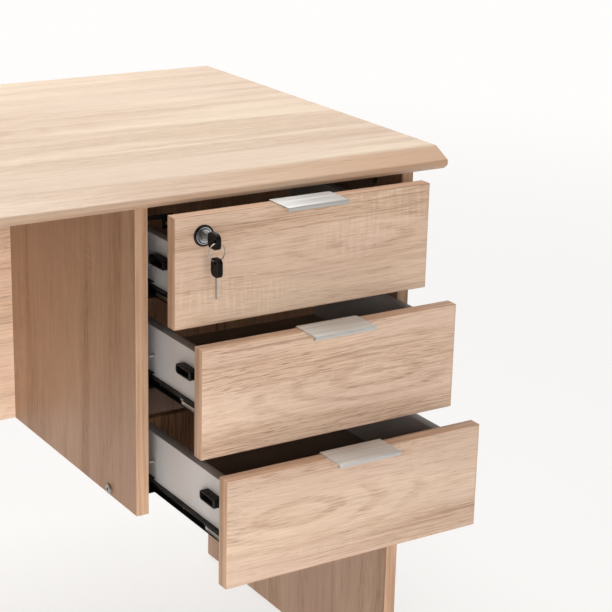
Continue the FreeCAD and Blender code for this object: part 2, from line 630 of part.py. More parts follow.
def make_catch(drawer):
    """A plastic stop with a sunk face on the left drawer side, screwed on from inside the drawer."""
    x_out = X_SIDE_L - CATCH_T
    y = (drawer.y_back + CATCH_START, drawer.y_back + CATCH_START + CATCH_L)
    z = (drawer.z_catch, drawer.z_catch + CATCH_H)
    block = box((x_out, X_SIDE_L), y, z)
    block = round_edges(block, CATCH_CORNER_R, lambda e: runs_along(e, ALONG_X))
    recess_y = (y[0] + CATCH_RECESS_FRONT_WALL, y[1] - CATCH_RECESS_REAR_WALL)
    recess_z = (z[0] + CATCH_RECESS_FOOT_WALL, z[1] - CATCH_RECESS_TOP_WALL)
    recess = box((x_out, x_out + CATCH_RECESS_D), recess_y, recess_z)
    node = drawer.node("catch")
    add(node, block)
    drill(node, recess)
    seat = V(X_SIDE_L + SIDE_T, y[0] + CATCH_RECESS_FRONT_WALL / 2, drawer.z_catch + CATCH_H / 2)
    screw(drawer.node("fasteners"), seat, ALONG_X * -1, CATCH_SCREW, (drawer.node("left_side"), node))


def make_lock_bar():
    """The bar in the inner panel's groove, its three pins, and the guides that keep it in."""
    x_face = X_INNER_R - BAR_RECESS
    y = (Y_PANEL + BAR_SETBACK + BAR_PLAY, Y_PANEL + BAR_SETBACK + BAR_PLAY + BAR_W)
    z_arm = TOP.z_side + SIDE_H + ARM_CLEARANCE
    z = (BOTTOM.z_pin - BAR_TAIL, z_arm + ARM_H)
    bar = box((x_face - BAR_T, x_face), y, z)
    roots = [V(x_face, sum(y) / 2, drawer.z_pin) for drawer in DRAWERS]
    pins = [rod(root, ALONG_X, PIN_R, BAR_RECESS + PIN_REACH) for root in roots]
    add("lock_bar", bar.fuse(pins).removeSplitter())
    groove_x = (x_face - BAR_T - BAR_PLAY, X_INNER_R + BAR_PLAY)
    groove_y = (y[0] - BAR_PLAY, y[1] + BAR_PLAY)
    groove_z = (z[0] - BAR_PLAY, z[1] + BAR_LIFT + BAR_PLAY)
    drill("inner_panel", box(groove_x, groove_y, groove_z))
    for lower, upper in ((MIDDLE, TOP), (BOTTOM, MIDDLE)):
        z_free = (lower.z_catch + CATCH_H, upper.z_slide - CARCASS_MEMBER_H / 2)
        z_guide = (sum(z_free) - GUIDE_H) / 2
        guide_y = (y[0] - GUIDE_LAP, y[0] - GUIDE_LAP + GUIDE_W)
        plate = box((X_INNER_R, X_INNER_R + GUIDE_T), guide_y, (z_guide, z_guide + GUIDE_H))
        peg_seat = V(X_INNER_R, guide_y[1] - GUIDE_PEG_INSET, z_guide + GUIDE_H / 2)
        peg = rod(peg_seat, ALONG_X * -1, GUIDE_PEG_R, GUIDE_PEG_L)
        add("lock_bar_guides", plate.fuse(peg).removeSplitter())
        peg_hole = rod(peg_seat, ALONG_X * -1, GUIDE_PEG_R + HOLE_PLAY, GUIDE_PEG_L + HOLE_PLAY)
        drill("inner_panel", peg_hole)
    make_driver_arm(x_face, y, z_arm)


def make_driver_arm(x_bar, bar_y, z_arm):
    """A bent strip from the bar, over the drawer side, down to a slot for the crank's pin."""
    y = (Y_PANEL + ARM_SETBACK, Y_PANEL + ARM_SETBACK + ARM_T)
    start = math.radians(CRANK_START_DEG)
    x_pin = X_LOCK - CRANK_R * math.cos(start)
    x_pin_far = X_LOCK - CRANK_R
    z_pin = Z_LOCK + CRANK_R * math.sin(start)
    half_h = CRANK_PIN_R + SLOT_PLAY
    slot = box((x_pin_far - half_h, x_pin + half_h), y, (z_pin - half_h, z_pin + half_h))
    x_mid = (x_pin + x_pin_far) / 2
    plate_x = (x_mid - ARM_PLATE_W / 2, x_mid + ARM_PLATE_W / 2)
    z_top = z_arm + ARM_H
    tab = box((x_bar, x_bar + ARM_TAB_T), (bar_y[0], y[1]), (z_top - ARM_TAB_H, z_top))
    bridge = box((x_bar, plate_x[1]), y, (z_arm, z_top))
    plate = box(plate_x, y, (z_pin - ARM_PLATE_TAIL, z_top))
    arm = tab.fuse([bridge, plate]).removeSplitter()
    add("lock_driver_arm", arm)
    drill("lock_driver_arm", slot)


def make_lock():
    centre = V(X_LOCK, TOP.y_face, Z_LOCK)
    inward = ALONG_Y
    y_tail = TOP.y_back + BARREL_TAIL
    front = TOP.node("front")
    bore_r = PLUG_R + PLUG_PLAY
    barrel = rod(centre, inward, BARREL_R, y_tail - TOP.y_face)
    nose = rod(centre - inward * LOCK_NOSE_L, inward, LOCK_NOSE_R, LOCK_NOSE_L)
    flange_x = (X_LOCK - LOCK_FLANGE_W / 2, X_LOCK + LOCK_FLANGE_W / 2)
    screw_offset = BARREL_R + LOCK_SCREW_GAP + LOCK_SCREW.head_r
    flange_half = screw_offset + LOCK_SCREW.head_r + LOCK_FLANGE_RIM
    flange_z = (Z_LOCK - flange_half, Z_LOCK + flange_half)
    flange = box(flange_x, (TOP.y_back, TOP.y_back + LOCK_FLANGE_T), flange_z)
    add("lock_housing", barrel.fuse([nose, flange]).removeSplitter())
    bore_l = LOCK_NOSE_L + y_tail - TOP.y_face
    drill("lock_housing", rod(centre - inward * LOCK_NOSE_L, inward, bore_r, bore_l))
    drill(front, rod(centre, inward, BARREL_R + HOLE_PLAY, FRONT_T))
    for side in (-1, 1):
        seat = V(X_LOCK, TOP.y_back + LOCK_FLANGE_T, Z_LOCK + side * screw_offset)
        screw(TOP.node("fasteners"), seat, inward * -1, LOCK_SCREW, ("lock_housing", front))

    ring = rod(centre - inward * ROSETTE_T, inward, ROSETTE_R, ROSETTE_T)
    y_rim = TOP.y_face - ROSETTE_T
    ring = ring.makeChamfer(ROSETTE_CHAMFER, [e for e in ring.Edges if e.BoundBox.YMax < y_rim + TOUCH])
    add("lock_rosette", ring)
    drill("lock_rosette", rod(centre - inward * ROSETTE_T, inward, LOCK_NOSE_R + HOLE_PLAY, ROSETTE_T))

    plug_start = centre - inward * (LOCK_NOSE_L + PLUG_PROUD)
    y_disc = y_tail + CRANK_GAP
    plug = rod(plug_start, inward, PLUG_R, y_disc - plug_start.y)
    disc = rod(V(X_LOCK, y_disc, Z_LOCK), inward, CRANK_DISC_R, CRANK_DISC_T)
    start = math.radians(CRANK_START_DEG)
    pin_foot = V(X_LOCK - CRANK_R * math.cos(start), y_disc, Z_LOCK + CRANK_R * math.sin(start))
    pin = rod(pin_foot, inward, CRANK_PIN_R, CRANK_DISC_T + CRANK_PIN_L)
    add("lock_plug", plug.fuse([disc, pin]).removeSplitter())
    half_t = KEY_BLADE_T / 2 + KEY_PLAY
    half_w = KEY_BLADE_W / 2 + KEY_PLAY
    keyway_y = (plug_start.y, TOP.y_face - KEY_STANDOFF + KEY_BLADE_L + KEY_PLAY)
    keyway_z = (Z_LOCK - half_w, Z_LOCK + half_w)
    drill("lock_plug", box((X_LOCK - half_t, X_LOCK + half_t), keyway_y, keyway_z))


def key_pieces():
    """A key's head and blade with the head's hole at the origin and the blade along +Y."""
    x = (-KEY_HEAD_T / 2, KEY_HEAD_T / 2)
    y_root = KEY_HEAD_L - KEY_HOLE_INSET
    head = box(x, (-KEY_HOLE_INSET, y_root), (-KEY_HEAD_W / 2, KEY_HEAD_W / 2))
    head = round_edges(head, KEY_HEAD_R, lambda e: runs_along(e, ALONG_X))
    broad = [face for face in head.Faces if face.BoundBox.XLength < TOUCH]
    head = head.makeFillet(KEY_HEAD_EDGE_R, [edge for face in broad for edge in face.Edges])
    blade_x = (-KEY_BLADE_T / 2, KEY_BLADE_T / 2)
    blade_y = (y_root - KEY_BLADE_ROOT, y_root + KEY_BLADE_L)
    blade = box(blade_x, blade_y, (-KEY_BLADE_W / 2, KEY_BLADE_W / 2))
    head = head.cut([blade, rod(V(x[0], 0, 0), ALONG_X, KEY_HOLE_R, KEY_HEAD_T)])
    notches = []
    for index in range(KEY_CUTS):
        y_end = blade_y[1] - KEY_CUT_PITCH / 2 - index * KEY_CUT_PITCH
        notch_y = (y_end - KEY_CUT_W, y_end)
        notch_z = (KEY_BLADE_W / 2 - KEY_CUT_D, KEY_BLADE_W / 2)
        notches.append(box(blade_x, notch_y, notch_z))
    return head.Solids[0], blade.cut(notches).Solids[0]


def make_keys():
    head, blade = key_pieces()
    in_lock = V(X_LOCK, Y_KEY_HOLE, Z_LOCK)
    add("key_head", head.translated(in_lock))
    add("key_blade", blade.translated(in_lock))
    hanging = V(X_LOCK, Y_KEY_HOLE, Z_SPARE_HOLE)
    for name, piece in (("spare_key_head", head), ("spare_key_blade", blade)):
        add(name, piece.rotated(V(0, 0, 0), ALONG_X, HANGING_DEG).translated(hanging))
    ring_centre = V(X_LOCK, Y_KEY_HOLE, Z_RING_TOP - RING_R)
    add("key_ring", Part.makeTorus(RING_R, RING_WIRE_R, ring_centre, ALONG_Y))


def build():
    make_desktop()
    make_carcass()
    make_end_panel_joints("left_end_panel", (X_LEFT_OUT + X_LEFT_IN) / 2, ALONG_X)
    make_end_panel_joints("right_end_panel", (X_RIGHT_OUT + X_RIGHT_IN) / 2, ALONG_X * -1)
    make_pedestal_joints()
    make_connector_bolt()
    for drawer in DRAWERS:
        make_drawer_box(drawer)
        make_handle(drawer)
        make_catch(drawer)
        make_slides(drawer)
    make_lock_bar()
    make_lock()
    make_keys()


def finish(node):
    solids = parts[node]
    if node in cuts:
        solids = [piece for solid in solids for piece in solid.cut(cuts[node]).Solids]
    return solids[0] if len(solids) == 1 else Part.makeCompound(solids)


build()
os.makedirs("parts", exist_ok=True)
for name in parts:
    finish(name).exportStep(f"parts/{name}.step")
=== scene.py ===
import math
from contextlib import contextmanager
from typing import NamedTuple

import bmesh
import bpy
from bpy.props import FloatProperty, FloatVectorProperty, PointerProperty
from mathutils import Matrix, Vector


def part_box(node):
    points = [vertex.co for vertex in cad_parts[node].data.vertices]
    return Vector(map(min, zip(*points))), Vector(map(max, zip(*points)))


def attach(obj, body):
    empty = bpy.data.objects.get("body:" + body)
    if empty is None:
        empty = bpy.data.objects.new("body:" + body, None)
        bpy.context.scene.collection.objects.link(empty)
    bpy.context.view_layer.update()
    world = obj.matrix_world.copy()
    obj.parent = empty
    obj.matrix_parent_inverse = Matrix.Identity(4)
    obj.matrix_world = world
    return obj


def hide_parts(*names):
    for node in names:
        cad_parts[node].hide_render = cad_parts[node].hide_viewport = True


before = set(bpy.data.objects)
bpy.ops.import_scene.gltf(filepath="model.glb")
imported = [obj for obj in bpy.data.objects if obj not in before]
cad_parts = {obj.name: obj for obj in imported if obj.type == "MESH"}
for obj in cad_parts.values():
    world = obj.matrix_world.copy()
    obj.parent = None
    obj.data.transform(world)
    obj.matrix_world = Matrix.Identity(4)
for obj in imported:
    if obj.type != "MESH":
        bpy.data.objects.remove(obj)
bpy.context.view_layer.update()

bl_info = {
    "name": "Pedestal desk",
    "version": (1, 0, 0),
    "blender": (4, 5, 0),
    "location": "3D View > Sidebar > Desk",
    "description": "Dresses the desk's CAD frame with finishes and fine detail, and sets its stage",
    "category": "Object",
}

MM = 0.001
X, Y, Z = range(3)
DRAWERS = ("top", "middle", "bottom")
SIDE_FACE = 0.9
SHARP = math.radians(35)
MERGE = 0.01 * MM


def number(title, about, default, **limits):
    """A number property."""
    return FloatProperty(name=title, description=about, default=default, **limits)


def mm(title, about, size):
    """A length property, given in millimetres."""
    return number(title, about, size * MM, min=0.0, unit="LENGTH", precision=5)


def colour(title, about, default):
    """A linear colour property."""
    return FloatVectorProperty(name=title, description=about, default=default, size=3, min=0.0, max=1.0,
                               subtype="COLOR")


def turn(title, about, degrees):
    """An angle property, given in degrees."""
    return number(title, about, math.radians(degrees), subtype="ANGLE")


class DeskOakSettings(bpy.types.PropertyGroup):
    """Tones and figure of the oak decor."""

    pale: colour("Pale", "Lightest wood between the streaks", (0.775, 0.585, 0.435))
    blush: colour("Blush", "Pale wood where it turns pinkish", (0.70, 0.505, 0.385))
    tan: colour("Tan", "Middle tone of the growth zones", (0.575, 0.385, 0.262))
    brown: colour("Brown", "Dark streaks of late wood", (0.34, 0.19, 0.12))
    pore: colour("Pore", "Open pores and short flecks", (0.28, 0.16, 0.095))
    band: colour("Edge band", "Plain edge band, a little redder than the decor", (0.545, 0.345, 0.222))
    band_dark: colour("Edge band streak", "Streaks along the edge band", (0.42, 0.245, 0.15))
    relief: mm("Relief", "Depth of the pressed pore texture", 0.12)


class DeskFittingSettings(bpy.types.PropertyGroup):
    """Sizes of the modelled fittings. Where a size is also the CAD's, it is the same one."""

    band_t: mm("Band thickness", "Edge band's thickness", 0.9)
    band_proud: mm("Band stand", "How far a band stands out from the board", 0.3)
    handle_t: mm("Handle plate", "Thickness of the handle's plate and lip", 2.0)
    handle_lip_h: mm("Handle lip", "Height of the handle's lip", 5.0)
    handle_return_d: mm("Handle return", "Depth of the return under the lip", 6.0)
    handle_return_t: mm("Return thickness", "Thickness of the return under the lip", 1.2)
    handle_flange_t: mm("Handle flange", "Thickness of the flange behind the front", 1.5)
    handle_nose_r: mm("Handle nose", "Rounding of the lip's outer edges", 0.9)
    soft_edge: mm("Soft edge", "Rounding of small metal edges", 0.25)
    runner_depth: mm("Runner depth", "From a runner's flange to the inside of its web", 5.4)
    lever_start: mm("Lever start", "From the runner's front end to its lever", 12.0)
    lever_l: mm("Lever length", "Length of the release lever", 38.0)
    lever_h: mm("Lever height", "Height of the lever", 4.4)
    lever_t: mm("Lever thickness", "Thickness of the lever", 0.8)
    lever_rise: mm("Lever rise", "From the runner's foot to its lever", 1.3)
    lever_stand: mm("Lever stand", "From the web's inside to the lever's outer face", 4.4)
    lever_rim: mm("Lever rim", "Width of the lever above and below its slot", 1.0)
    rivet_at: mm("Rivet place", "From the runner's front end to its rivet", 108.0)
    rivet_r: mm("Rivet", "Radius of the runner's rivet", 2.0)
    lever_foot: mm("Lever foot", "Length of the foot at each end of the lever", 5.0)
    catch_corner_r: mm("Catch corner", "Rounding of the catch's corners", 4.4)
    catch_recess_d: mm("Catch recess", "Depth of the catch's sunk face", 7.0)
    catch_front_wall: mm("Catch front wall", "Wall in front of the recess", 6.0)
    catch_rear_wall: mm("Catch rear wall", "Wall behind the recess", 2.5)
    catch_top_wall: mm("Catch top wall", "Wall above the recess", 2.5)
    catch_foot_wall: mm("Catch foot wall", "Wall below the recess", 2.0)
    catch_edge_r: mm("Catch edge", "Rounding of the catch's edges", 0.7)
    rosette_groove_r: mm("Rosette groove", "Middle radius of the rosette's groove", 8.35)
    rosette_groove_w: mm("Groove width", "Width of the rosette's groove", 1.0)
    rosette_groove_d: mm("Groove depth", "Depth of the rosette's groove", 1.3)
    # Painted reflection: a dark ring laid over the rosette's rim
    shroud_w: mm("Dark reflection width", "Width of the dark ring around the rosette", 1.4)
    rosette_bevel: mm("Rosette bevel", "Slope at the rosette's rim", 1.2)
    lock_bore_r: mm("Rosette bore", "Radius of the rosette's hole", 7.55)
    key_hole_r: mm("Key hole", "Radius of the ring hole in a key's head", 2.5)
    key_hole_inset: mm("Key hole inset", "From the head's outer end to the hole's centre", 5.0)
    key_corner_r: mm("Key corner", "Rounding of the key head's outline", 6.0)
    key_panel_inset: mm("Key panel inset", "Rim around the sunk panel of the key head", 2.2)
    key_panel_d: mm("Key panel depth", "Depth of the sunk panel", 0.5)
    key_edge_r: mm("Key edge", "Rounding of the key head's edges", 0.5)
    ring_wire_r: mm("Ring wire", "Radius of the split ring's wire", 0.42)
    ring_split: mm("Ring split", "Gap at the end of a turn of the ring", 0.8)


class DeskStageSettings(bpy.types.PropertyGroup):
    """Camera, lights and floor."""

    eye: FloatVectorProperty(name="Camera place", description="Where the camera stands, in metres",
                             default=(-0.672606, -1.886464, 1.239416), size=3, subtype="XYZ", precision=5)
    azimuth: turn("Azimuth", "Camera's heading, from the desk's depth towards its right", 32.651)
    elevation: turn("Elevation", "How far the camera looks down", 18.313)
    roll: turn("Roll", "Camera's turn about its own axis", 1.430)
    lens: number("Lens", "Focal length on a 36 mm sensor, in millimetres", 104.051)
    key_power: number("Front light", "Power of the front softbox, in watts", 54.0)
    key_turn: turn("Front light heading", "Front softbox, to the left of the fronts' axis", 13.0)
    key_rise: turn("Front light rise", "Front softbox, above level", 12.0)
    top_power: number("Top light", "Power of the overhead softbox, in watts", 82.0)
    low_power: number("Low light", "Power of the low softbox, in watts", 7.0)
    sky: number("Surroundings", "Brightness of the room around the desk", 0.14)
    front_gloss: number("Dark side", "Brightness that metal sees towards the camera's side", 0.05)
    floor: colour("Floor", "Colour of the floor", (0.86, 0.84, 0.82))
    floor_glow: number("Floor lift", "Share of white in the floor near the desk", 0.72, min=0.0, max=1.0)


class Graph:
    """Adds nodes to one node tree and joins them."""

    def __init__(self, tree):
        self.tree = tree

    def feed(self, node, inputs):
        """Sets a node's inputs, or links them where the value is another node's output."""
        for key, value in inputs.items():
            if isinstance(value, bpy.types.NodeSocket):
                self.tree.links.new(value, node.inputs[key])
            else:
                node.inputs[key].default_value = value

    def add(self, kind, inputs=None, **settings):
        """A new shader node with its settings and inputs."""
        node = self.tree.nodes.new(f"ShaderNode{kind}")
        for name, value in settings.items():
            setattr(node, name, value)
        self.feed(node, inputs or {})
        return node

    def math(self, operation, *values):
        """One sum on numbers."""
        return self.add("Math", dict(enumerate(values)), operation=operation).outputs[0]

    def times(self, first, second):
        """The product of two numbers."""
        return self.math("MULTIPLY", first, second)

    def vector(self, operation, first, second):
        """One sum on vectors."""
        return self.add("VectorMath", {0: first, 1: second}, operation=operation).outputs[0]

    def length(self, vector):
        """A vector's length."""
        return self.add("VectorMath", {0: vector}, operation="LENGTH").outputs["Value"]

    def noise(self, place, stretch, detail=2.0, roughness=0.5):
        """Noise whose features are 1/stretch long on each axis."""
        scaled = self.vector("MULTIPLY", place, stretch)
        inputs = {"Vector": scaled, "Scale": 1.0, "Detail": detail, "Roughness": roughness}
        return self.add("TexNoise", inputs).outputs["Fac"]

    def spread(self, value, low, high, to_low=0.0, to_high=1.0):
        """A value's range carried smoothly over to another range."""
        inputs = {"Value": value, "From Min": low, "From Max": high, "To Min": to_low, "To Max": to_high}
        return self.add("MapRange", inputs, interpolation_type="SMOOTHSTEP").outputs["Result"]

    def mix(self, factor, first, second):
        """A blend of two colours."""
        return self.add("Mix", {0: factor, 6: first, 7: second}, data_type="RGBA").outputs[2]

    def blend(self, factor, first, second):
        """A blend of two numbers."""
        return self.add("Mix", {0: factor, 2: first, 3: second}, data_type="FLOAT").outputs[0]

    def bump(self, height, distance):
        """A normal for a height given from 0 to 1."""
        return self.add("Bump", {"Height": height, "Distance": distance}).outputs["Normal"]


def opaque(rgb):
    """A colour with full alpha."""
    return (*rgb, 1.0)


def even(scale):
    """The same stretch on every axis."""
    return (scale, scale, scale)


def new_group(name, vectors, numbers, results):
    """An empty group's graph, inputs and output node. It takes vectors and numbers and gives numbers."""
    tree = bpy.data.node_groups.new(name, "ShaderNodeTree")
    sockets = ((vectors, "INPUT", "Vector"), (numbers, "INPUT", "Float"), (results, "OUTPUT", "Float"))
    for titles, side, kind in sockets:
        for title in titles:
            tree.interface.new_socket(title, in_out=side, socket_type=f"NodeSocket{kind}")
    return Graph(tree), tree.nodes.new("NodeGroupInput").outputs, tree.nodes.new("NodeGroupOutput")


class Pattern(NamedTuple):
    """One pattern in the oak: features per metre along and across the grain, and the range of noise used."""

    along: float
    across: float
    low: float = 0.0
    high: float = 1.0
    detail: float = 2.0
    roughness: float = 0.5


PATTERNS = {
    "drift": Pattern(1.9, 7.0, detail=1.0),
    "ripple": Pattern(7.0, 60.0),
    "breaks": Pattern(5.0, 30.0, 0.3, 0.55),
    "zones": Pattern(1.5, 27.0, 0.40, 0.64),
    "clouds": Pattern(2.6, 13.0, 0.36, 0.64),
    "long_lines": Pattern(3.2, 390.0, 0.46, 0.70, detail=3.0, roughness=0.6),
    "short_lines": Pattern(14.0, 700.0, 0.5, 0.74, roughness=0.6),
    "fibres": Pattern(24.0, 700.0, 0.3, 0.7, detail=3.0, roughness=0.6),
    "dashes": Pattern(40.0, 1050.0, 0.58, 0.69, detail=1.0),
    "saw_lines": Pattern(240.0, 22.0, 0.42, 0.7, detail=1.0),
    "saw_area": Pattern(4.0, 13.0, 0.56, 0.70),
}

# How far the grain sways, and the arches of growth rings around a board's heart
SWAY = 34 * MM
HEART_SHAPE = (0.26, 1.0, 1.0)
HEART_REACH = (12 * MM, 75 * MM)
RING_RATE = 430.0
RING_RIPPLE = 4.0
RING_USED = (-0.3, 1.0)

# What each pattern adds to the tone, the streaks and the relief
CROWD_SHARE = 0.7
ZONE_TONE = 0.42
FIBRE_TONE = 0.48
ARCH_TONE = 0.3
SAW_TONE = -0.6
ARCH_STREAKS = 0.16
FIBRE_HEIGHT = 0.5


def oak_group():
    """The oak figure, with the grain along X: growth zones, late-wood streaks, pores and saw marks."""
    name = "Oak figure"
    if name in bpy.data.node_groups:
        return bpy.data.node_groups[name]
    graph, given, result = new_group(name, ("Vector", "Heart"), ("Saw",),
                                     ("Tone", "Blush", "Streaks", "Pores", "Height"))

    def grain(title, at):
        """One pattern's plain noise."""
        pattern = PATTERNS[title]
        stretch = (pattern.along, pattern.across, pattern.across)
        return graph.noise(at, stretch, pattern.detail, pattern.roughness)

    def used(title, noise):
        """The range of a pattern's noise that is used, from 0 to 1."""
        return graph.spread(noise, PATTERNS[title].low, PATTERNS[title].high)

    def figure(title, at):
        """One pattern, from 0 to 1."""
        return used(title, grain(title, at))

    start = given["Vector"]
    sway = graph.times(graph.math("SUBTRACT", grain("drift", start), 0.5), SWAY)
    lean = graph.add("CombineXYZ", {"Y": sway, "Z": sway}).outputs[0]
    place = graph.vector("ADD", start, lean)

    heart = graph.vector("MULTIPLY", graph.vector("SUBTRACT", place, given["Heart"]), HEART_SHAPE)
    from_heart = graph.length(heart)
    ripple = graph.times(grain("ripple", start), RING_RIPPLE)
    rings = graph.math("SINE", graph.math("MULTIPLY_ADD", from_heart, RING_RATE, ripple))
    near = graph.spread(from_heart, *HEART_REACH, 1.0, 0.0)
    arches = graph.times(graph.spread(rings, *RING_USED), near)
    arches = graph.times(arches, figure("breaks", start))

    zones = figure("zones", place)
    fibres = grain("fibres", place)
    crowd = graph.math("MULTIPLY_ADD", graph.math("MAXIMUM", zones, arches), CROWD_SHARE, 1.0 - CROWD_SHARE)
    lines = graph.math("MAXIMUM", figure("long_lines", place), figure("short_lines", place))
    streaks = graph.times(lines, crowd)
    pores = graph.times(figure("dashes", place), crowd)
    saw = graph.times(figure("saw_lines", start), figure("saw_area", start))
    saw = graph.times(saw, given["Saw"])
    tone = graph.times(zones, ZONE_TONE)
    for part, share in ((used("fibres", fibres), FIBRE_TONE), (arches, ARCH_TONE), (saw, SAW_TONE)):
        tone = graph.math("MULTIPLY_ADD", part, share, tone)

    streaks = graph.math("MAXIMUM", streaks, graph.times(arches, ARCH_STREAKS))
    height = graph.math("SUBTRACT", graph.times(fibres, FIBRE_HEIGHT), pores)
    graph.feed(result, {"Tone": tone, "Blush": figure("clouds", place), "Streaks": streaks, "Pores": pores,
                        "Height": height})
    return graph.tree


# The ranges of a plain finish's unevenness that show
BROAD_USED = (0.3, 0.7)
SHADE_USED = (0.25, 0.75)
ROUGH_USED = (0.2, 0.8)


def uneven_group():
    """Slight unevenness of a plain finish: one broad and one fine pattern, stretched as asked."""
    name = "Uneven finish"
    if name in bpy.data.node_groups:
        return bpy.data.node_groups[name]
    graph, given, result = new_group(name, ("Broad", "Fine"), (), ("Broad", "Fine"))
    broad = graph.noise(given["Broad"], even(1.0), detail=3.0)
    fine = graph.noise(given["Fine"], even(1.0))
    graph.feed(result, {"Broad": graph.spread(broad, *BROAD_USED), "Fine": fine})
    return graph.tree


def new_material(name):
    """A material with its graph, its Principled shader and its object coordinates."""
    material = bpy.data.materials.new(name)
    material.use_nodes = True
    graph = Graph(material.node_tree)
    shader = material.node_tree.nodes["Principled BSDF"]
    return material, graph, shader, graph.add("TexCoord").outputs["Object"]


# Painted shade on the desktop: where its decor darkens to tan behind its front and below its upper face, and
# how far it darkens
EDGE_DEPTH = (18 * MM, 34 * MM)
NOSE_DROP = (15 * MM, 11 * MM)
NOSE_SHADE = 0.6
RIGHT_SHADE = 0.95


def painted_edge_shade(graph, place):
    """Painted shade on the desktop: how far its decor darkens to tan over its front edge, and more towards
    the right.
    """
    low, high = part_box("desktop")
    parts = graph.add("SeparateXYZ", {0: place}).outputs
    edge = graph.spread(parts["Y"], low.y + EDGE_DEPTH[0], low.y + EDGE_DEPTH[1], 1.0, 0.0)
    nose = graph.spread(parts["Z"], high.z - NOSE_DROP[0], high.z - NOSE_DROP[1], NOSE_SHADE, 0.0)
    right = graph.spread(parts["X"], 0.0, high.x, 0.0, RIGHT_SHADE)
    return graph.times(edge, graph.math("MAXIMUM", nose, right))


OAK_ROUGH = (0.42, 0.54)

# A heart so far off that a board has no arches
FAR = (0.0, 99.0, 0.0)


class Cut(NamedTuple):
    """How boards are cut from the oak pattern: their place in it, their tint, which carries painted light
    and shade, and a heart on the desk.
    """

    nodes: list
    offset: tuple
    # Lifts or lowers a board's brightness: painted light and shade for most boards
    tint: tuple
    upright: bool = True
    heart: tuple = FAR
    saw: float = 0.6
    streaks: float = 0.68
    # Painted shade laid over the decor, such as the desktop's darker front edge
    painted_shade: object = None


def oak(name, cut):
    """Oak decor with the grain along X, or along Z where upright."""
    settings = bpy.context.scene.desk_oak
    material, graph, shader, place = new_material(name)
    turned = (0.0, math.pi / 2 if cut.upright else 0.0, 0.0)
    laid = graph.add("Mapping", {"Vector": place, "Location": cut.offset, "Rotation": turned}).outputs[0]
    heart = Vector(cut.heart) + Vector(cut.offset)
    inputs = {"Vector": laid, "Heart": heart, "Saw": cut.saw}
    figure = graph.add("Group", inputs, node_tree=oak_group()).outputs
    tones = (settings.pale, settings.blush, settings.tan, settings.brown, settings.pore)
    # Each board's tint scales its tones: painted light or shade where the board is lit or shaded
    tones = [opaque([part * share for part, share in zip(rgb, cut.tint)]) for rgb in tones]
    pale, blush, tan, brown, pore = tones
    wood = graph.mix(figure["Tone"], graph.mix(figure["Blush"], pale, blush), tan)
    # Painted shade: the desktop's front edge darkens towards the band's tan
    if cut.painted_shade:
        wood = graph.mix(cut.painted_shade(graph, place), wood, opaque(settings.band))
    for marks, dark in (("Streaks", brown), ("Pores", pore)):
        wood = graph.mix(graph.times(figure[marks], cut.streaks), wood, dark)
    graph.feed(shader, {"Base Color": wood, "Roughness": graph.spread(figure["Tone"], 0.0, 1.0, *OAK_ROUGH),
                        "Normal": graph.bump(figure["Height"], settings.relief)})
    return material


def plain(name, low, high, rough, stretch, fine, relief=0.02 * MM, metallic=0.0, shine=0.5):
    """A plain finish between two close colours: broad patches, fine texture and a little relief."""
    material, graph, shader, place = new_material(name)
    broad, fine = (graph.vector("MULTIPLY", place, rates) for rates in (stretch, fine))
    uneven = graph.add("Group", {"Broad": broad, "Fine": fine}, node_tree=uneven_group()).outputs
    shade = graph.times(graph.math("ADD", uneven["Broad"], uneven["Fine"]), 0.5)
    shade = graph.spread(shade, *SHADE_USED)
    graph.feed(shader, {"Base Color": graph.mix(shade, opaque(low), opaque(high)),
                        "Roughness": graph.spread(shade, *ROUGH_USED, *rough),
                        "Normal": graph.bump(uneven["Fine"], relief),
                        "Metallic": metallic, "Specular IOR Level": shine})
    return material


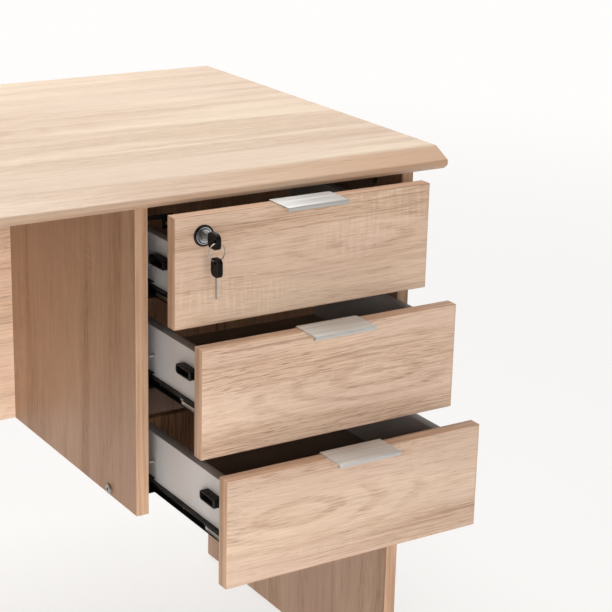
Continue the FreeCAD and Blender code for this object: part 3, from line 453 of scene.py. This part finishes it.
FINISHES = {
    "grey_melamine": dict(low=(0.56, 0.53, 0.51), high=(0.62, 0.595, 0.575), rough=(0.42, 0.5),
                          stretch=even(9.0), fine=even(1500.0)),
    "hardboard": dict(low=(0.20, 0.14, 0.10), high=(0.28, 0.20, 0.145), rough=(0.5, 0.62),
                      stretch=even(12.0), fine=even(900.0), relief=0.03 * MM),
    "brushed_aluminium": dict(low=(0.51, 0.495, 0.475), high=(0.63, 0.615, 0.59), rough=(0.4, 0.5),
                              stretch=(8.0, 260.0, 260.0), fine=(14.0, 2600.0, 2600.0), metallic=0.6),
    "black_steel": dict(low=(0.004, 0.0035, 0.0033), high=(0.008, 0.0072, 0.0068), rough=(0.36, 0.5),
                        stretch=even(25.0), fine=even(1200.0), relief=0.01 * MM, shine=0.2),
    "bright_steel": dict(low=(0.58, 0.58, 0.59), high=(0.72, 0.72, 0.73), rough=(0.22, 0.34),
                         stretch=even(60.0), fine=even(1500.0), relief=0.01 * MM, metallic=1.0),
    "dull_steel": dict(low=(0.50, 0.47, 0.43), high=(0.62, 0.59, 0.55), rough=(0.3, 0.42),
                       stretch=even(60.0), fine=even(1500.0), relief=0.01 * MM, metallic=1.0),
    # Painted reflection: the dark ring laid over the rosette's rim
    "dark_nickel": dict(low=(0.006, 0.005, 0.004), high=(0.012, 0.010, 0.009), rough=(0.14, 0.22),
                        stretch=even(40.0), fine=even(1800.0), relief=0.004 * MM, shine=0.3),
    # Darker nickel, partly painted shadow of the key on the lock's plug
    "satin_nickel": dict(low=(0.20, 0.195, 0.19), high=(0.34, 0.335, 0.33), rough=(0.16, 0.26),
                         stretch=even(160.0), fine=even(1800.0), relief=0.006 * MM, metallic=1.0),
    # Painted shade: the dark finish of the bands on the drawer sides' top edges
    "side_band": dict(low=(0.30, 0.265, 0.245), high=(0.40, 0.355, 0.33), rough=(0.45, 0.55),
                      stretch=(60.0, 7.0, 60.0), fine=(900.0, 60.0, 900.0)),
    "cast_zinc": dict(low=(0.42, 0.42, 0.41), high=(0.56, 0.56, 0.55), rough=(0.4, 0.55),
                      stretch=even(90.0), fine=even(2200.0), relief=0.04 * MM, metallic=1.0),
    "black_plastic": dict(low=(0.003, 0.0024, 0.0022), high=(0.007, 0.0058, 0.0052), rough=(0.4, 0.52),
                          stretch=even(40.0), fine=even(2400.0), shine=0.15),
    "beech": dict(low=(0.58, 0.42, 0.27), high=(0.68, 0.52, 0.36), rough=(0.5, 0.6),
                  stretch=even(40.0), fine=even(900.0), relief=0.03 * MM),
}


def finish(name):
    """One of the plain finishes, made when it is first asked for."""
    title = f"{name}_finish"
    return bpy.data.materials.get(title) or plain(title, **FINISHES[name])


# The edge band's broad and fine streaks per metre, along and across the band
BAND_ALONG = (5.0, 40.0)
BAND_ACROSS = (160.0, 900.0)
BAND_ROUGH = (0.45, 0.56)


def band_finish(name, across):
    """The edge band's finish, with its streaks along the band and close together across it."""
    settings = bpy.context.scene.desk_oak
    broad, fine = ([rate] * 3 for rate in BAND_ALONG)
    broad[across], fine[across] = BAND_ACROSS
    return plain(name, settings.band, settings.band_dark, BAND_ROUGH, broad, fine, settings.relief / 2)


def paint(names, material):
    """Gives CAD nodes a material."""
    for name in names:
        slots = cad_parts[name].data.materials
        if slots:
            slots[0] = material
        else:
            slots.append(material)


def drawer_nodes(piece):
    """The three drawers' nodes of one kind."""
    return [f"{drawer}_{piece}" for drawer in DRAWERS]


def only(obj):
    """Makes one object the whole selection."""
    bpy.ops.object.select_all(action="DESELECT")
    obj.select_set(True)
    bpy.context.view_layer.objects.active = obj


def settle(obj):
    """Puts the object's place, turn and scale into its mesh."""
    only(obj)
    bpy.ops.object.transform_apply(location=True, rotation=True, scale=True)
    return obj


def named(name):
    """Names what the last operator added, and settles it."""
    obj = bpy.context.object
    obj.name = obj.data.name = name
    return settle(obj)


def add_box(name, corner, opposite):
    """A box between two opposite corners."""
    low, high = (Vector([end(pair) for pair in zip(corner, opposite)]) for end in (min, max))
    bpy.ops.mesh.primitive_cube_add(size=1.0, location=(low + high) / 2, scale=high - low)
    return named(name)


def add_rod(name, centre, radius, depth, vertices):
    """A cylinder along X, centred on a point."""
    bpy.ops.mesh.primitive_cylinder_add(vertices=vertices, radius=radius, depth=depth, location=centre,
                                        rotation=(0.0, math.pi / 2, 0.0))
    return named(name)


@contextmanager
def editing(obj):
    """Edit mode on one object."""
    only(obj)
    bpy.ops.object.mode_set(mode="EDIT")
    yield
    bpy.ops.object.mode_set(mode="OBJECT")


def pick(obj, kind, test):
    """In edit mode, selects the faces or edges that pass a test."""
    bpy.ops.mesh.select_mode(type={"faces": "FACE", "edges": "EDGE"}[kind])
    bpy.ops.mesh.select_all(action="DESELECT")
    mesh = bmesh.from_edit_mesh(obj.data)
    mesh.normal_update()
    found = [element for element in getattr(mesh, kind) if test(element)]
    if not found:
        raise RuntimeError(f"no {kind} of {obj.name} pass the test")
    for element in found:
        element.select_set(True)
    bmesh.update_edit_mesh(obj.data)


def along(axis, distance):
    """A vector along an axis."""
    return Vector([distance if index == axis else 0.0 for index in (X, Y, Z)])


def cut_across(axis, at):
    """In edit mode, cuts the whole mesh by a plane across an axis."""
    bpy.ops.mesh.select_all(action="SELECT")
    bpy.ops.mesh.bisect(plane_co=along(axis, at), plane_no=along(axis, 1.0))


def extrude(move):
    """In edit mode, extrudes the selection."""
    bpy.ops.mesh.extrude_region_move(TRANSFORM_OT_translate={"value": move})


def runs_along(edge, axis):
    """Whether an edge runs along an axis."""
    line = edge.verts[1].co - edge.verts[0].co
    return abs(line[axis]) > SIDE_FACE * line.length


def apply(obj, kind, **settings):
    """Adds a modifier and applies it."""
    only(obj)
    modifier = obj.modifiers.new(kind.title(), kind)
    for name, value in settings.items():
        setattr(modifier, name, value)
    bpy.ops.object.modifier_apply(modifier=modifier.name)


def soften(obj, width, segments=2):
    """Rounds the sharp edges."""
    apply(obj, "BEVEL", width=width, segments=segments, limit_method="ANGLE", angle_limit=SHARP)


def carve(obj, tool):
    """Cuts one object out of another and removes the tool."""
    apply(obj, "BOOLEAN", operation="DIFFERENCE", object=tool, solver="EXACT")
    bpy.data.objects.remove(tool, do_unlink=True)


def weld():
    """In edit mode, joins points that fall together and turns the faces outwards."""
    bpy.ops.mesh.select_all(action="SELECT")
    bpy.ops.mesh.remove_doubles(threshold=MERGE)
    bpy.ops.mesh.normals_make_consistent(inside=False)


def spun(name, outline, axis_x, axis_z):
    """A ring about an axis along Y, from a closed outline of radius and Y, extruded point by point."""
    places = [Vector((axis_x + radius, y, axis_z)) for radius, y in outline]
    bpy.ops.mesh.primitive_plane_add(size=MM, location=places[0])
    ring = named(name)
    with editing(ring):
        bpy.ops.mesh.select_mode(type="VERT")
        bpy.ops.mesh.select_all(action="SELECT")
        bpy.ops.mesh.merge(type="CENTER")
        for here, there in zip(places, places[1:] + places[:1]):
            extrude(there - here)
        bpy.ops.mesh.select_all(action="SELECT")
        bpy.ops.mesh.remove_doubles(threshold=MERGE)
        bpy.ops.mesh.spin(steps=96, angle=2 * math.pi, center=(axis_x, 0.0, axis_z), axis=(0.0, 1.0, 0.0))
        weld()
    return ring


def copy_of(obj, name):
    """A copy with its own mesh."""
    only(obj)
    bpy.ops.object.duplicate(linked=False)
    return named(name)


def shift(obj, move):
    """Moves a settled object."""
    only(obj)
    bpy.ops.transform.translate(value=move)
    return settle(obj)


def on_each_drawer(first, node, piece):
    """The top drawer's piece and its copies, set as the drawers' nodes are, each with its drawer."""
    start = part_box(f"top_drawer_{node}")[0]
    copies = [shift(copy_of(first, f"{drawer}_{piece}"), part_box(f"{drawer}_drawer_{node}")[0] - start)
              for drawer in DRAWERS[1:]]
    return zip(DRAWERS, [first] + copies)


def complete(obj, body, material, stands_for=()):
    """Cleans a piece's mesh, gives it its finish and ties it to its body."""
    with editing(obj):
        weld()
    bpy.ops.object.shade_smooth_by_angle(angle=SHARP)
    obj.data.materials.clear()
    obj.data.materials.append(material)
    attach(obj, body)
    if stands_for:
        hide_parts(*stands_for)


def edge_band(name, node, through):
    """A thin band around the edges of a board whose broad faces lie across an axis."""
    sizes = bpy.context.scene.desk_fittings
    band = add_box(name, *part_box(node))
    with editing(band):
        pick(band, "faces", lambda face: abs(face.normal[through]) > SIDE_FACE)
        bpy.ops.mesh.delete(type="FACE")
    share = 2 * sizes.band_proud / sizes.band_t - 1
    apply(band, "SOLIDIFY", thickness=sizes.band_t, offset=share, use_even_offset=True)
    soften(band, sizes.soft_edge)
    return band


class DeskOperator:
    """What the desk's operators have in common."""

    bl_options = {"REGISTER", "UNDO"}


def front_cut(drawer, offset, tint, heart_x, heart_z):
    """The cut of a drawer front, with the heart on its face."""
    node = f"{drawer}_drawer_front"
    heart = (heart_x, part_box(node)[0].y, heart_z)
    return Cut([node], offset, tint, upright=False, heart=heart, saw=0.9)


BOARDS = {
    # Painted sheen: the desktop's paler, cooler tint and faint streaks; painted shade on its front edge
    "oak_desktop": Cut(["desktop"], (0.0, 0.0, 0.0), (0.98, 1.05, 1.06), upright=False,
                       heart=(0.05, 0.1, 0.75), saw=0.15, streaks=0.4, painted_shade=painted_edge_shade),
    # Painted light: the modesty panel's tint lifts it to the fronts' brightness
    "oak_modesty": Cut(["modesty_panel"], (3.1, 1.7, 0.4), (1.18, 1.2, 1.2), upright=False),
    # Painted shade: the inner panel's darker, browner tint
    "oak_inner": Cut(["inner_panel"], (5.2, 0.6, 2.3), (0.58, 0.485, 0.40)),
    # Painted shade: the end panels' darker tint
    "oak_ends": Cut(["left_end_panel", "right_end_panel"], (7.9, 2.2, 1.1), (0.56, 0.49, 0.44)),
    # Painted shade: the rail's and back panel's very dark tint
    "oak_back": Cut(["bottom_rail", "pedestal_back_panel"], (9.3, 4.4, 3.1), (0.18, 0.132, 0.097),
                    streaks=1.0),
    "oak_drawer_back": Cut(drawer_nodes("drawer_back"), (2.2, 7.4, 5.1), (0.66, 0.52, 0.41), streaks=1.0),
    # The fronts' tints set each front's brightness, partly painted light and shade
    "oak_top_front": front_cut("top", (1.14, 4.1, 0.0), (1.09, 1.09, 1.08), 0.47, 0.66),
    "oak_middle_front": front_cut("middle", (2.6, 6.3, 0.9), (1.06, 1.07, 1.09), 0.44, 0.52),
    "oak_bottom_front": front_cut("bottom", (4.4, 8.2, 1.8), (0.9, 0.905, 0.915), 0.30, 0.40),
}


class DESK_OT_oak_boards(DeskOperator, bpy.types.Operator):
    """Lays oak decor on the desktop, the panels, the rail, and the drawers' fronts and backs"""

    bl_idname = "desk.oak_boards"
    bl_label = "Oak boards"

    def execute(self, context):
        for name, cut in BOARDS.items():
            paint(cut.nodes, oak(name, cut))
        return {"FINISHED"}


class DESK_OT_edge_bands(DeskOperator, bpy.types.Operator):
    """Adds the edge bands of the drawer fronts, the inner panel and the end panels"""

    bl_idname = "desk.edge_bands"
    bl_label = "Edge bands"

    def execute(self, context):
        front, panel = band_finish("oak_band_fronts", Y), band_finish("oak_band_panels", X)
        for drawer in DRAWERS:
            band = edge_band(f"{drawer}_front_edge_band", f"{drawer}_drawer_front", Y)
            complete(band, f"{drawer}_drawer", front)
        for node in ("inner_panel", "left_end_panel", "right_end_panel"):
            complete(edge_band(f"{node}_edge_band", node, X), "desk", panel)
        return {"FINISHED"}


class DESK_OT_drawer_boxes(DeskOperator, bpy.types.Operator):
    """Finishes the drawers' sides and bottoms, and lays a band of painted shade on each side's top edge"""

    bl_idname = "desk.drawer_boxes"
    bl_label = "Drawer boxes"

    def band(self, drawer, piece, sizes):
        """The band on one side's top edge, softened along its length; its dark finish is painted shade."""
        low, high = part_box(f"{drawer}_drawer_{piece}")
        band = add_box(f"{drawer}_{piece}_band", (low.x, low.y, high.z),
                       (high.x, high.y, high.z + sizes.band_proud))
        with editing(band):
            pick(band, "edges", lambda edge: runs_along(edge, Y) and edge.verts[0].co.z > high.z + MERGE)
            bpy.ops.mesh.bevel(offset=sizes.band_proud / 2, segments=2, affect="EDGES")
        return band

    def execute(self, context):
        for piece in ("left_side", "right_side"):
            paint(drawer_nodes(f"drawer_{piece}"), finish("grey_melamine"))
            for drawer in DRAWERS:
                band = self.band(drawer, piece, context.scene.desk_fittings)
                # The band's dark finish is painted shade from the drawer above
                complete(band, f"{drawer}_drawer", finish("side_band"))
        paint(drawer_nodes("drawer_base"), finish("hardboard"))
        return {"FINISHED"}


class DESK_OT_handles(DeskOperator, bpy.types.Operator):
    """Models the lip handle once, from its plate, and copies it to each drawer"""

    bl_idname = "desk.handles"
    bl_label = "Handles"

    def model(self, sizes):
        """The top drawer's handle."""
        low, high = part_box("top_drawer_handle")
        lip_y, flange_y = low.y + sizes.handle_t, high.y - sizes.handle_flange_t
        lip_z = high.z - sizes.handle_lip_h
        handle = add_box("top_handle", (low.x, low.y, high.z - sizes.handle_t), high)
        with editing(handle):
            cut_across(Y, lip_y)
            cut_across(Y, flange_y)
            pick(handle, "faces", lambda face: face.normal.z < -SIDE_FACE
                 and face.calc_center_median().y < lip_y)
            extrude(along(Z, sizes.handle_t - sizes.handle_lip_h))
            cut_across(Z, lip_z + sizes.handle_return_t)
            pick(handle, "faces", lambda face: face.normal.y > SIDE_FACE
                 and face.calc_center_median().z < lip_z + sizes.handle_return_t)
            extrude(along(Y, sizes.handle_return_d - sizes.handle_t))
            pick(handle, "faces", lambda face: face.normal.z < -SIDE_FACE
                 and face.calc_center_median().y > flange_y)
            extrude(along(Z, low.z - high.z + sizes.handle_t))
            pick(handle, "edges", lambda edge: runs_along(edge, X)
                 and all(abs(vert.co.y - low.y) < MERGE for vert in edge.verts)
                 and min(abs(edge.verts[0].co.z - at) for at in (high.z, lip_z)) < MERGE)
            bpy.ops.mesh.bevel(offset=sizes.handle_nose_r, segments=5, affect="EDGES")
        soften(handle, sizes.soft_edge)
        return handle

    def execute(self, context):
        first = self.model(context.scene.desk_fittings)
        for drawer, handle in on_each_drawer(first, "handle", "handle"):
            complete(handle, f"{drawer}_drawer", finish("brushed_aluminium"),
                     [f"{drawer}_drawer_handle"])
        return {"FINISHED"}


class DESK_OT_slides(DeskOperator, bpy.types.Operator):
    """Finishes the ball slides and the lock bar, and dresses the runners with levers, liners and rivets"""

    bl_idname = "desk.slides"
    bl_label = "Slides"

    def lever(self, name, sizes, web_x, hand):
        """A slotted strip inside the top runner, on two feet that reach its web."""
        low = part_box("top_drawer_runners")[0]
        front, foot, rim = low.y + sizes.lever_start, sizes.lever_foot, sizes.lever_rim
        back, lower = front + sizes.lever_l, low.z + sizes.lever_rise
        upper, face_x = lower + sizes.lever_h, web_x - hand * sizes.lever_stand
        lever = add_box(name, (face_x, front, lower), (face_x + hand * sizes.lever_t, back, upper))
        with editing(lever):
            cut_across(Y, front + foot)
            cut_across(Y, back - foot)
            pick(lever, "faces", lambda face: hand * face.normal.x > SIDE_FACE
                 and not front + foot < face.calc_center_median().y < back - foot)
            extrude(along(X, hand * (sizes.lever_stand - sizes.lever_t)))
        carve(lever, add_box("slot", (face_x - sizes.lever_t, front + foot, lower + rim),
                             (face_x + sizes.lever_t, back - foot, upper - rim)))
        soften(lever, sizes.soft_edge / 2)
        return lever

    def liner(self, name, sizes, web_x, hand):
        """A black strip on the top runner's web, behind the lever."""
        low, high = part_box("top_drawer_runners")
        front = low.y + sizes.lever_start + sizes.lever_foot
        back = front + sizes.lever_l - 2 * sizes.lever_foot
        liner = add_box(name, (web_x, front, low.z + sizes.lever_rise),
                        (web_x - hand * sizes.lever_t, back, high.z - sizes.lever_rise))
        soften(liner, sizes.soft_edge)
        return liner

    def rivet(self, name, sizes, web_x, hand):
        """A domed rivet on the top runner's web, behind its front screw."""
        low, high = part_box("top_drawer_runners")
        place = Vector((web_x - hand * sizes.lever_t / 2, low.y + sizes.rivet_at, (low.z + high.z) / 2))
        rivet = add_rod(name, place, sizes.rivet_r, sizes.lever_t, vertices=32)
        soften(rivet, sizes.soft_edge)
        return rivet

    def execute(self, context):
        members = drawer_nodes("carcass_slides") + drawer_nodes("drawer_runners")
        paint([*members, "lock_driver_arm"], finish("black_steel"))
        paint([*drawer_nodes("ball_cages"), "slide_screws", "lock_bar"], finish("bright_steel"))
        paint(["lock_bar_guides", "slide_packers"], finish("black_plastic"))
        sizes = context.scene.desk_fittings
        low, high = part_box("top_drawer_runners")
        depth = sizes.runner_depth
        pieces = (("lever", self.lever, "bright_steel", "dull_steel"),
                  ("liner", self.liner, "black_plastic", "black_plastic"),
                  ("rivet", self.rivet, "bright_steel", "bright_steel"))
        for side, web_x, hand in (("left", low.x + depth, 1), ("right", high.x - depth, -1)):
            for piece, model, slot, look in pieces:
                first = model(f"top_{side}_{piece}", sizes, web_x, hand)
                for drawer, obj in on_each_drawer(first, "runners", f"{side}_{piece}"):
                    complete(obj, f"{drawer}_drawer", finish(look))
        return {"FINISHED"}


class DESK_OT_catches(DeskOperator, bpy.types.Operator):
    """Models the moulded lock catch once and copies it to each drawer"""

    bl_idname = "desk.catches"
    bl_label = "Lock catches"

    def model(self, sizes):
        """The top drawer's catch."""
        low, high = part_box("top_drawer_catch")
        catch = add_box("top_catch", low, high)
        with editing(catch):
            pick(catch, "edges", lambda edge: runs_along(edge, X))
            bpy.ops.mesh.bevel(offset=sizes.catch_corner_r, segments=8, affect="EDGES")
        depth = sizes.catch_recess_d
        carve(catch, add_box(
            "recess", (low.x - depth, low.y + sizes.catch_front_wall, low.z + sizes.catch_foot_wall),
            (low.x + depth, high.y - sizes.catch_rear_wall, high.z - sizes.catch_top_wall)))
        soften(catch, sizes.catch_edge_r, segments=3)
        return catch

    def execute(self, context):
        first = self.model(context.scene.desk_fittings)
        for drawer, catch in on_each_drawer(first, "catch", "catch"):
            complete(catch, f"{drawer}_drawer", finish("black_plastic"),
                     [f"{drawer}_drawer_catch"])
        return {"FINISHED"}


class DESK_OT_lock(DeskOperator, bpy.types.Operator):
    """Spins the lock's rosette, a black ring of painted shade in its groove and a dark ring of painted
    reflection around it, and finishes the lock
    """

    bl_idname = "desk.lock"
    bl_label = "Lock"

    def execute(self, context):
        sizes = context.scene.desk_fittings
        low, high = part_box("lock_rosette")
        axis_x, axis_z, radius = (low.x + high.x) / 2, (low.z + high.z) / 2, (high.x - low.x) / 2
        bore, bevel, half = sizes.lock_bore_r, sizes.rosette_bevel, sizes.rosette_groove_w / 2
        inner, outer = sizes.rosette_groove_r - half, sizes.rosette_groove_r + half
        back, face, rim = high.y, low.y, radius + sizes.shroud_w
        floor = face + sizes.rosette_groove_d
        rosette = [(bore, back), (radius, back), (radius, face + bevel), (radius - bevel, face),
                   (outer, face), (outer, floor), (inner, floor), (inner, face), (bore, face)]
        # Painted shade: a black ring laid in the rosette's groove
        groove_shade = [(inner, floor), (outer, floor), (outer, floor - half), (inner, floor - half)]
        # Painted reflection: a dark ring over the rosette's sloping rim
        dark_reflection = [(radius, back), (rim, back), (rim, face + half), (rim - half, face),
                  (radius - bevel, face), (radius, face + bevel)]
        rings = (("rosette", rosette, "chrome_lock", "bright_steel", ["lock_rosette"]),
                 ("rosette_gasket", groove_shade, "black_plastic", "black_plastic", []),
                 ("rosette_shroud", dark_reflection, "chrome_lock", "dark_nickel", []))
        for name, outline, slot, look, stands_for in rings:
            ring = spun(name, outline, axis_x, axis_z)
            soften(ring, sizes.soft_edge / 2)
            complete(ring, "top_drawer", finish(look), stands_for)
        paint(["lock_housing"], finish("bright_steel"))
        # The plug's dark nickel is partly painted shadow of the key
        paint(["lock_plug"], finish("satin_nickel"))
        return {"FINISHED"}


class DESK_OT_keys(DeskOperator, bpy.types.Operator):
    """Models the key's head with its sunk panel, copies it to the spare key, and winds the split ring"""

    bl_idname = "desk.keys"
    bl_label = "Keys"

    def head(self, sizes):
        """The head of the key that stands in the lock."""
        low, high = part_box("key_head")
        head = add_box("key_head_moulding", low, high)
        with editing(head):
            pick(head, "edges", lambda edge: runs_along(edge, X))
            bpy.ops.mesh.bevel(offset=sizes.key_corner_r, segments=7, affect="EDGES")
            pick(head, "faces", lambda face: abs(face.normal.x) > SIDE_FACE)
            bpy.ops.mesh.inset(thickness=sizes.key_panel_inset, depth=0.0, use_individual=True)
            bpy.ops.mesh.inset(thickness=sizes.key_panel_d, depth=-sizes.key_panel_d,
                               use_individual=True)
        hole = Vector(((low.x + high.x) / 2, low.y + sizes.key_hole_inset, (low.z + high.z) / 2))
        carve(head, add_rod("ring_hole", hole, sizes.key_hole_r, 2 * (high.x - low.x), vertices=40))
        carve(head, add_box("blade_slot", *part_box("key_blade")))
        soften(head, sizes.key_edge_r)
        return head

    def ring(self, sizes):
        """The split ring: two turns of wire side by side, each with its open end."""
        low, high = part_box("key_ring")
        wire_r = sizes.ring_wire_r
        centre, radius = (low + high) / 2, (high.x - low.x) / 2 - wire_r
        half = Vector((2 * wire_r, 2 * wire_r, sizes.ring_split / 2))
        turns = []
        for side in (-1, 1):
            place = centre + along(Y, side * wire_r)
            bpy.ops.mesh.primitive_torus_add(
                major_radius=radius, minor_radius=wire_r - MERGE, major_segments=96, minor_segments=12,
                location=place, rotation=(math.pi / 2, 0.0, 0.0))
            wire = named("ring_turn")
            end = Vector((centre.x - side * radius, place.y, centre.z))
            carve(wire, add_box("ring_gap", end - half, end + half))
            turns.append(wire)
        only(turns[0])
        turns[1].select_set(True)
        bpy.ops.object.join()
        return named("split_ring")

    def execute(self, context):
        sizes = context.scene.desk_fittings
        head = self.head(sizes)
        spare = copy_of(head, "spare_key_head_moulding")
        spare.rotation_euler.x = -math.pi / 2
        settle(spare)
        corner = Vector([min(vert.co[axis] for vert in spare.data.vertices) for axis in (X, Y, Z)])
        shift(spare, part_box("spare_key_head")[0] - corner)
        black = finish("black_plastic")
        complete(head, "key", black, ["key_head"])
        complete(spare, "spare_key", black, ["spare_key_head"])
        complete(self.ring(sizes), "key_ring", finish("dull_steel"), ["key_ring"])
        paint(["key_blade", "spare_key_blade"], finish("dull_steel"))
        return {"FINISHED"}


class DESK_OT_fittings(DeskOperator, bpy.types.Operator):
    """Finishes the bolts, cams, dowels, screws and floor glides"""

    bl_idname = "desk.fittings"
    bl_label = "Fittings"

    def execute(self, context):
        paint(["connector_bolt", "barrel_nut", "cam_bolts", "cam_discs"], finish("cast_zinc"))
        paint(drawer_nodes("drawer_fasteners"), finish("bright_steel"))
        paint(["dowels"], finish("beech"))
        paint(["floor_glides"], finish("black_plastic"))
        return {"FINISHED"}


class DESK_OT_stage(DeskOperator, bpy.types.Operator):
    """Sets the floor, the lights and the camera at the photo's angle"""

    bl_idname = "desk.stage"
    bl_label = "Stage"

    FLOOR_SIDE = 40.0
    FLOOR_FADE = (0.8, 4.5)
    FLOOR_WHITE = (1.0, 0.985, 0.968)
    FLOOR_CLOUDS = 3.0
    FLOOR_SHADE = 0.99
    FLOOR_ROUGH = 0.9
    FLOOR_SHINE = 0.1
    ROOM_WHITE = (1.0, 0.995, 0.985)
    SKY_RISE = (-0.1, 0.9)
    SKY_SHARES = (0.6, 1.5)
    GLOSS_TURN = (-0.25, 0.35)
    KEY_TARGET = Vector((0.25, -0.25, 0.5))
    KEY_DISTANCE = 3.2
    KEY_SIZE = 1.5
    TOP_PLACE = Vector((0.3, 0.8, 3.2))
    TOP_SIZE = 1.7
    LOW_PLACE = Vector((-1.25, -1.7, 0.12))
    LOW_TARGET = Vector((0.25, -0.1, -0.4))
    LOW_SIZE = 0.9
    LOW_SPREAD = math.radians(52)
    SENSOR = 36.0

    def lamp(self, name, place, target, size, power, mirrored=False, spread=math.pi):
        """A square softbox that faces a point, with its light kept within an angle."""
        bpy.ops.object.light_add(type="AREA", location=place)
        lamp = bpy.context.object
        lamp.name = name
        lamp.rotation_euler = (target - place).to_track_quat("-Z", "Y").to_euler()
        lamp.data.size = size
        lamp.data.energy = power
        lamp.data.spread = spread
        lamp.visible_camera = False
        lamp.visible_glossy = mirrored

    def floor(self, settings):
        """A pale floor that fades to white away from the desk and keeps the desk's shadow."""
        bpy.ops.mesh.primitive_plane_add(size=self.FLOOR_SIDE)
        floor = named("floor")
        material, graph, shader, place = new_material("pale_floor")
        far = graph.spread(graph.length(place), *self.FLOOR_FADE, settings.floor_glow, 1.0)
        path = graph.add("LightPath").outputs
        seen = graph.math("MAXIMUM", path["Is Camera Ray"],
                          graph.math("MAXIMUM", path["Is Glossy Ray"], path["Is Transmission Ray"]))
        white = graph.add("Emission", {"Color": opaque(self.FLOOR_WHITE), "Strength": 1.0}).outputs[0]
        cloud = graph.noise(place, even(self.FLOOR_CLOUDS))
        shade = [part * self.FLOOR_SHADE for part in settings.floor]
        graph.feed(shader, {"Base Color": graph.mix(cloud, opaque(shade), opaque(settings.floor)),
                            "Roughness": self.FLOOR_ROUGH, "Specular IOR Level": self.FLOOR_SHINE})
        layers = {0: graph.times(seen, far), 1: shader.outputs[0], 2: white}
        surface = graph.add("MixShader", layers).outputs[0]
        graph.feed(material.node_tree.nodes["Material Output"], {"Surface": surface})
        floor.data.materials.append(material)

    def room(self, settings):
        """Soft surroundings: brighter overhead, white behind the desk, dark to metal on the near side."""
        world = bpy.data.worlds.new("room")
        bpy.context.scene.world = world
        world.use_nodes = True
        graph = Graph(world.node_tree)
        background = world.node_tree.nodes["Background"]
        direction = graph.add("TexCoord").outputs["Generated"]
        parts = graph.add("SeparateXYZ", {0: direction}).outputs
        levels = [share * settings.sky for share in self.SKY_SHARES]
        diffuse = graph.spread(parts["Z"], *self.SKY_RISE, *levels)
        mirrored = graph.spread(parts["Y"], *self.GLOSS_TURN, settings.front_gloss, 1.0)
        path = graph.add("LightPath").outputs
        through = graph.math("MAXIMUM", path["Is Camera Ray"], path["Is Transmission Ray"])
        level = graph.blend(path["Is Glossy Ray"], diffuse, mirrored)
        strength = graph.blend(through, level, 1.0)
        graph.feed(background, {"Color": opaque(self.ROOM_WHITE), "Strength": strength})

    def camera(self, scene, settings):
        """The camera, as fitted to the photo."""
        bpy.ops.object.camera_add()
        camera = bpy.context.object
        camera.name = "photo_camera"
        turned = (Matrix.Rotation(-settings.azimuth, 4, "Z")
                  @ Matrix.Rotation(math.pi / 2 - settings.elevation, 4, "X")
                  @ Matrix.Rotation(settings.roll, 4, "Z"))
        camera.matrix_world = Matrix.Translation(settings.eye) @ turned
        camera.data.sensor_width = self.SENSOR
        camera.data.lens = settings.lens
        camera.data.clip_end = 2 * self.FLOOR_SIDE
        scene.camera = camera

    def execute(self, context):
        settings = context.scene.desk_stage
        self.floor(settings)
        self.room(settings)
        level = math.cos(settings.key_rise)
        towards = Vector((-math.sin(settings.key_turn) * level, -math.cos(settings.key_turn) * level,
                          math.sin(settings.key_rise)))
        self.lamp("front_softbox", self.KEY_TARGET + self.KEY_DISTANCE * towards, self.KEY_TARGET,
                  self.KEY_SIZE, settings.key_power)
        self.lamp("top_softbox", self.TOP_PLACE, Vector((*self.TOP_PLACE.xy, 0.0)), self.TOP_SIZE,
                  settings.top_power, mirrored=True)
        self.lamp("low_softbox", self.LOW_PLACE, self.LOW_TARGET, self.LOW_SIZE, settings.low_power,
                  spread=self.LOW_SPREAD)
        self.camera(context.scene, settings)
        context.scene.view_settings.view_transform = "Standard"
        return {"FINISHED"}


OPERATORS = (DESK_OT_oak_boards, DESK_OT_edge_bands, DESK_OT_drawer_boxes, DESK_OT_handles, DESK_OT_slides,
             DESK_OT_catches, DESK_OT_lock, DESK_OT_keys, DESK_OT_fittings, DESK_OT_stage)


class DESK_PT_pieces(bpy.types.Panel):
    """The desk's operators, in the order that they run"""

    bl_idname = "DESK_PT_pieces"
    bl_label = "Pedestal desk"
    bl_space_type = "VIEW_3D"
    bl_region_type = "UI"
    bl_category = "Desk"

    def draw(self, context):
        for operator in OPERATORS:
            self.layout.operator(operator.bl_idname)


SETTINGS = {
    "desk_oak": DeskOakSettings,
    "desk_fittings": DeskFittingSettings,
    "desk_stage": DeskStageSettings,
}


def register():
    """Adds the settings, the operators and the panel to Blender."""
    for group in (*SETTINGS.values(), *OPERATORS, DESK_PT_pieces):
        bpy.utils.register_class(group)
    for name, group in SETTINGS.items():
        setattr(bpy.types.Scene, name, PointerProperty(type=group))


def unregister():
    """Takes them out again."""
    for name in SETTINGS:
        delattr(bpy.types.Scene, name)
    for group in (DESK_PT_pieces, *reversed(OPERATORS), *SETTINGS.values()):
        bpy.utils.unregister_class(group)


def main():
    """Runs every operator in order."""
    register()
    for operator in OPERATORS:
        family, action = operator.bl_idname.split(".")
        getattr(getattr(bpy.ops, family), action)()


if __name__ == "__main__":
    main()
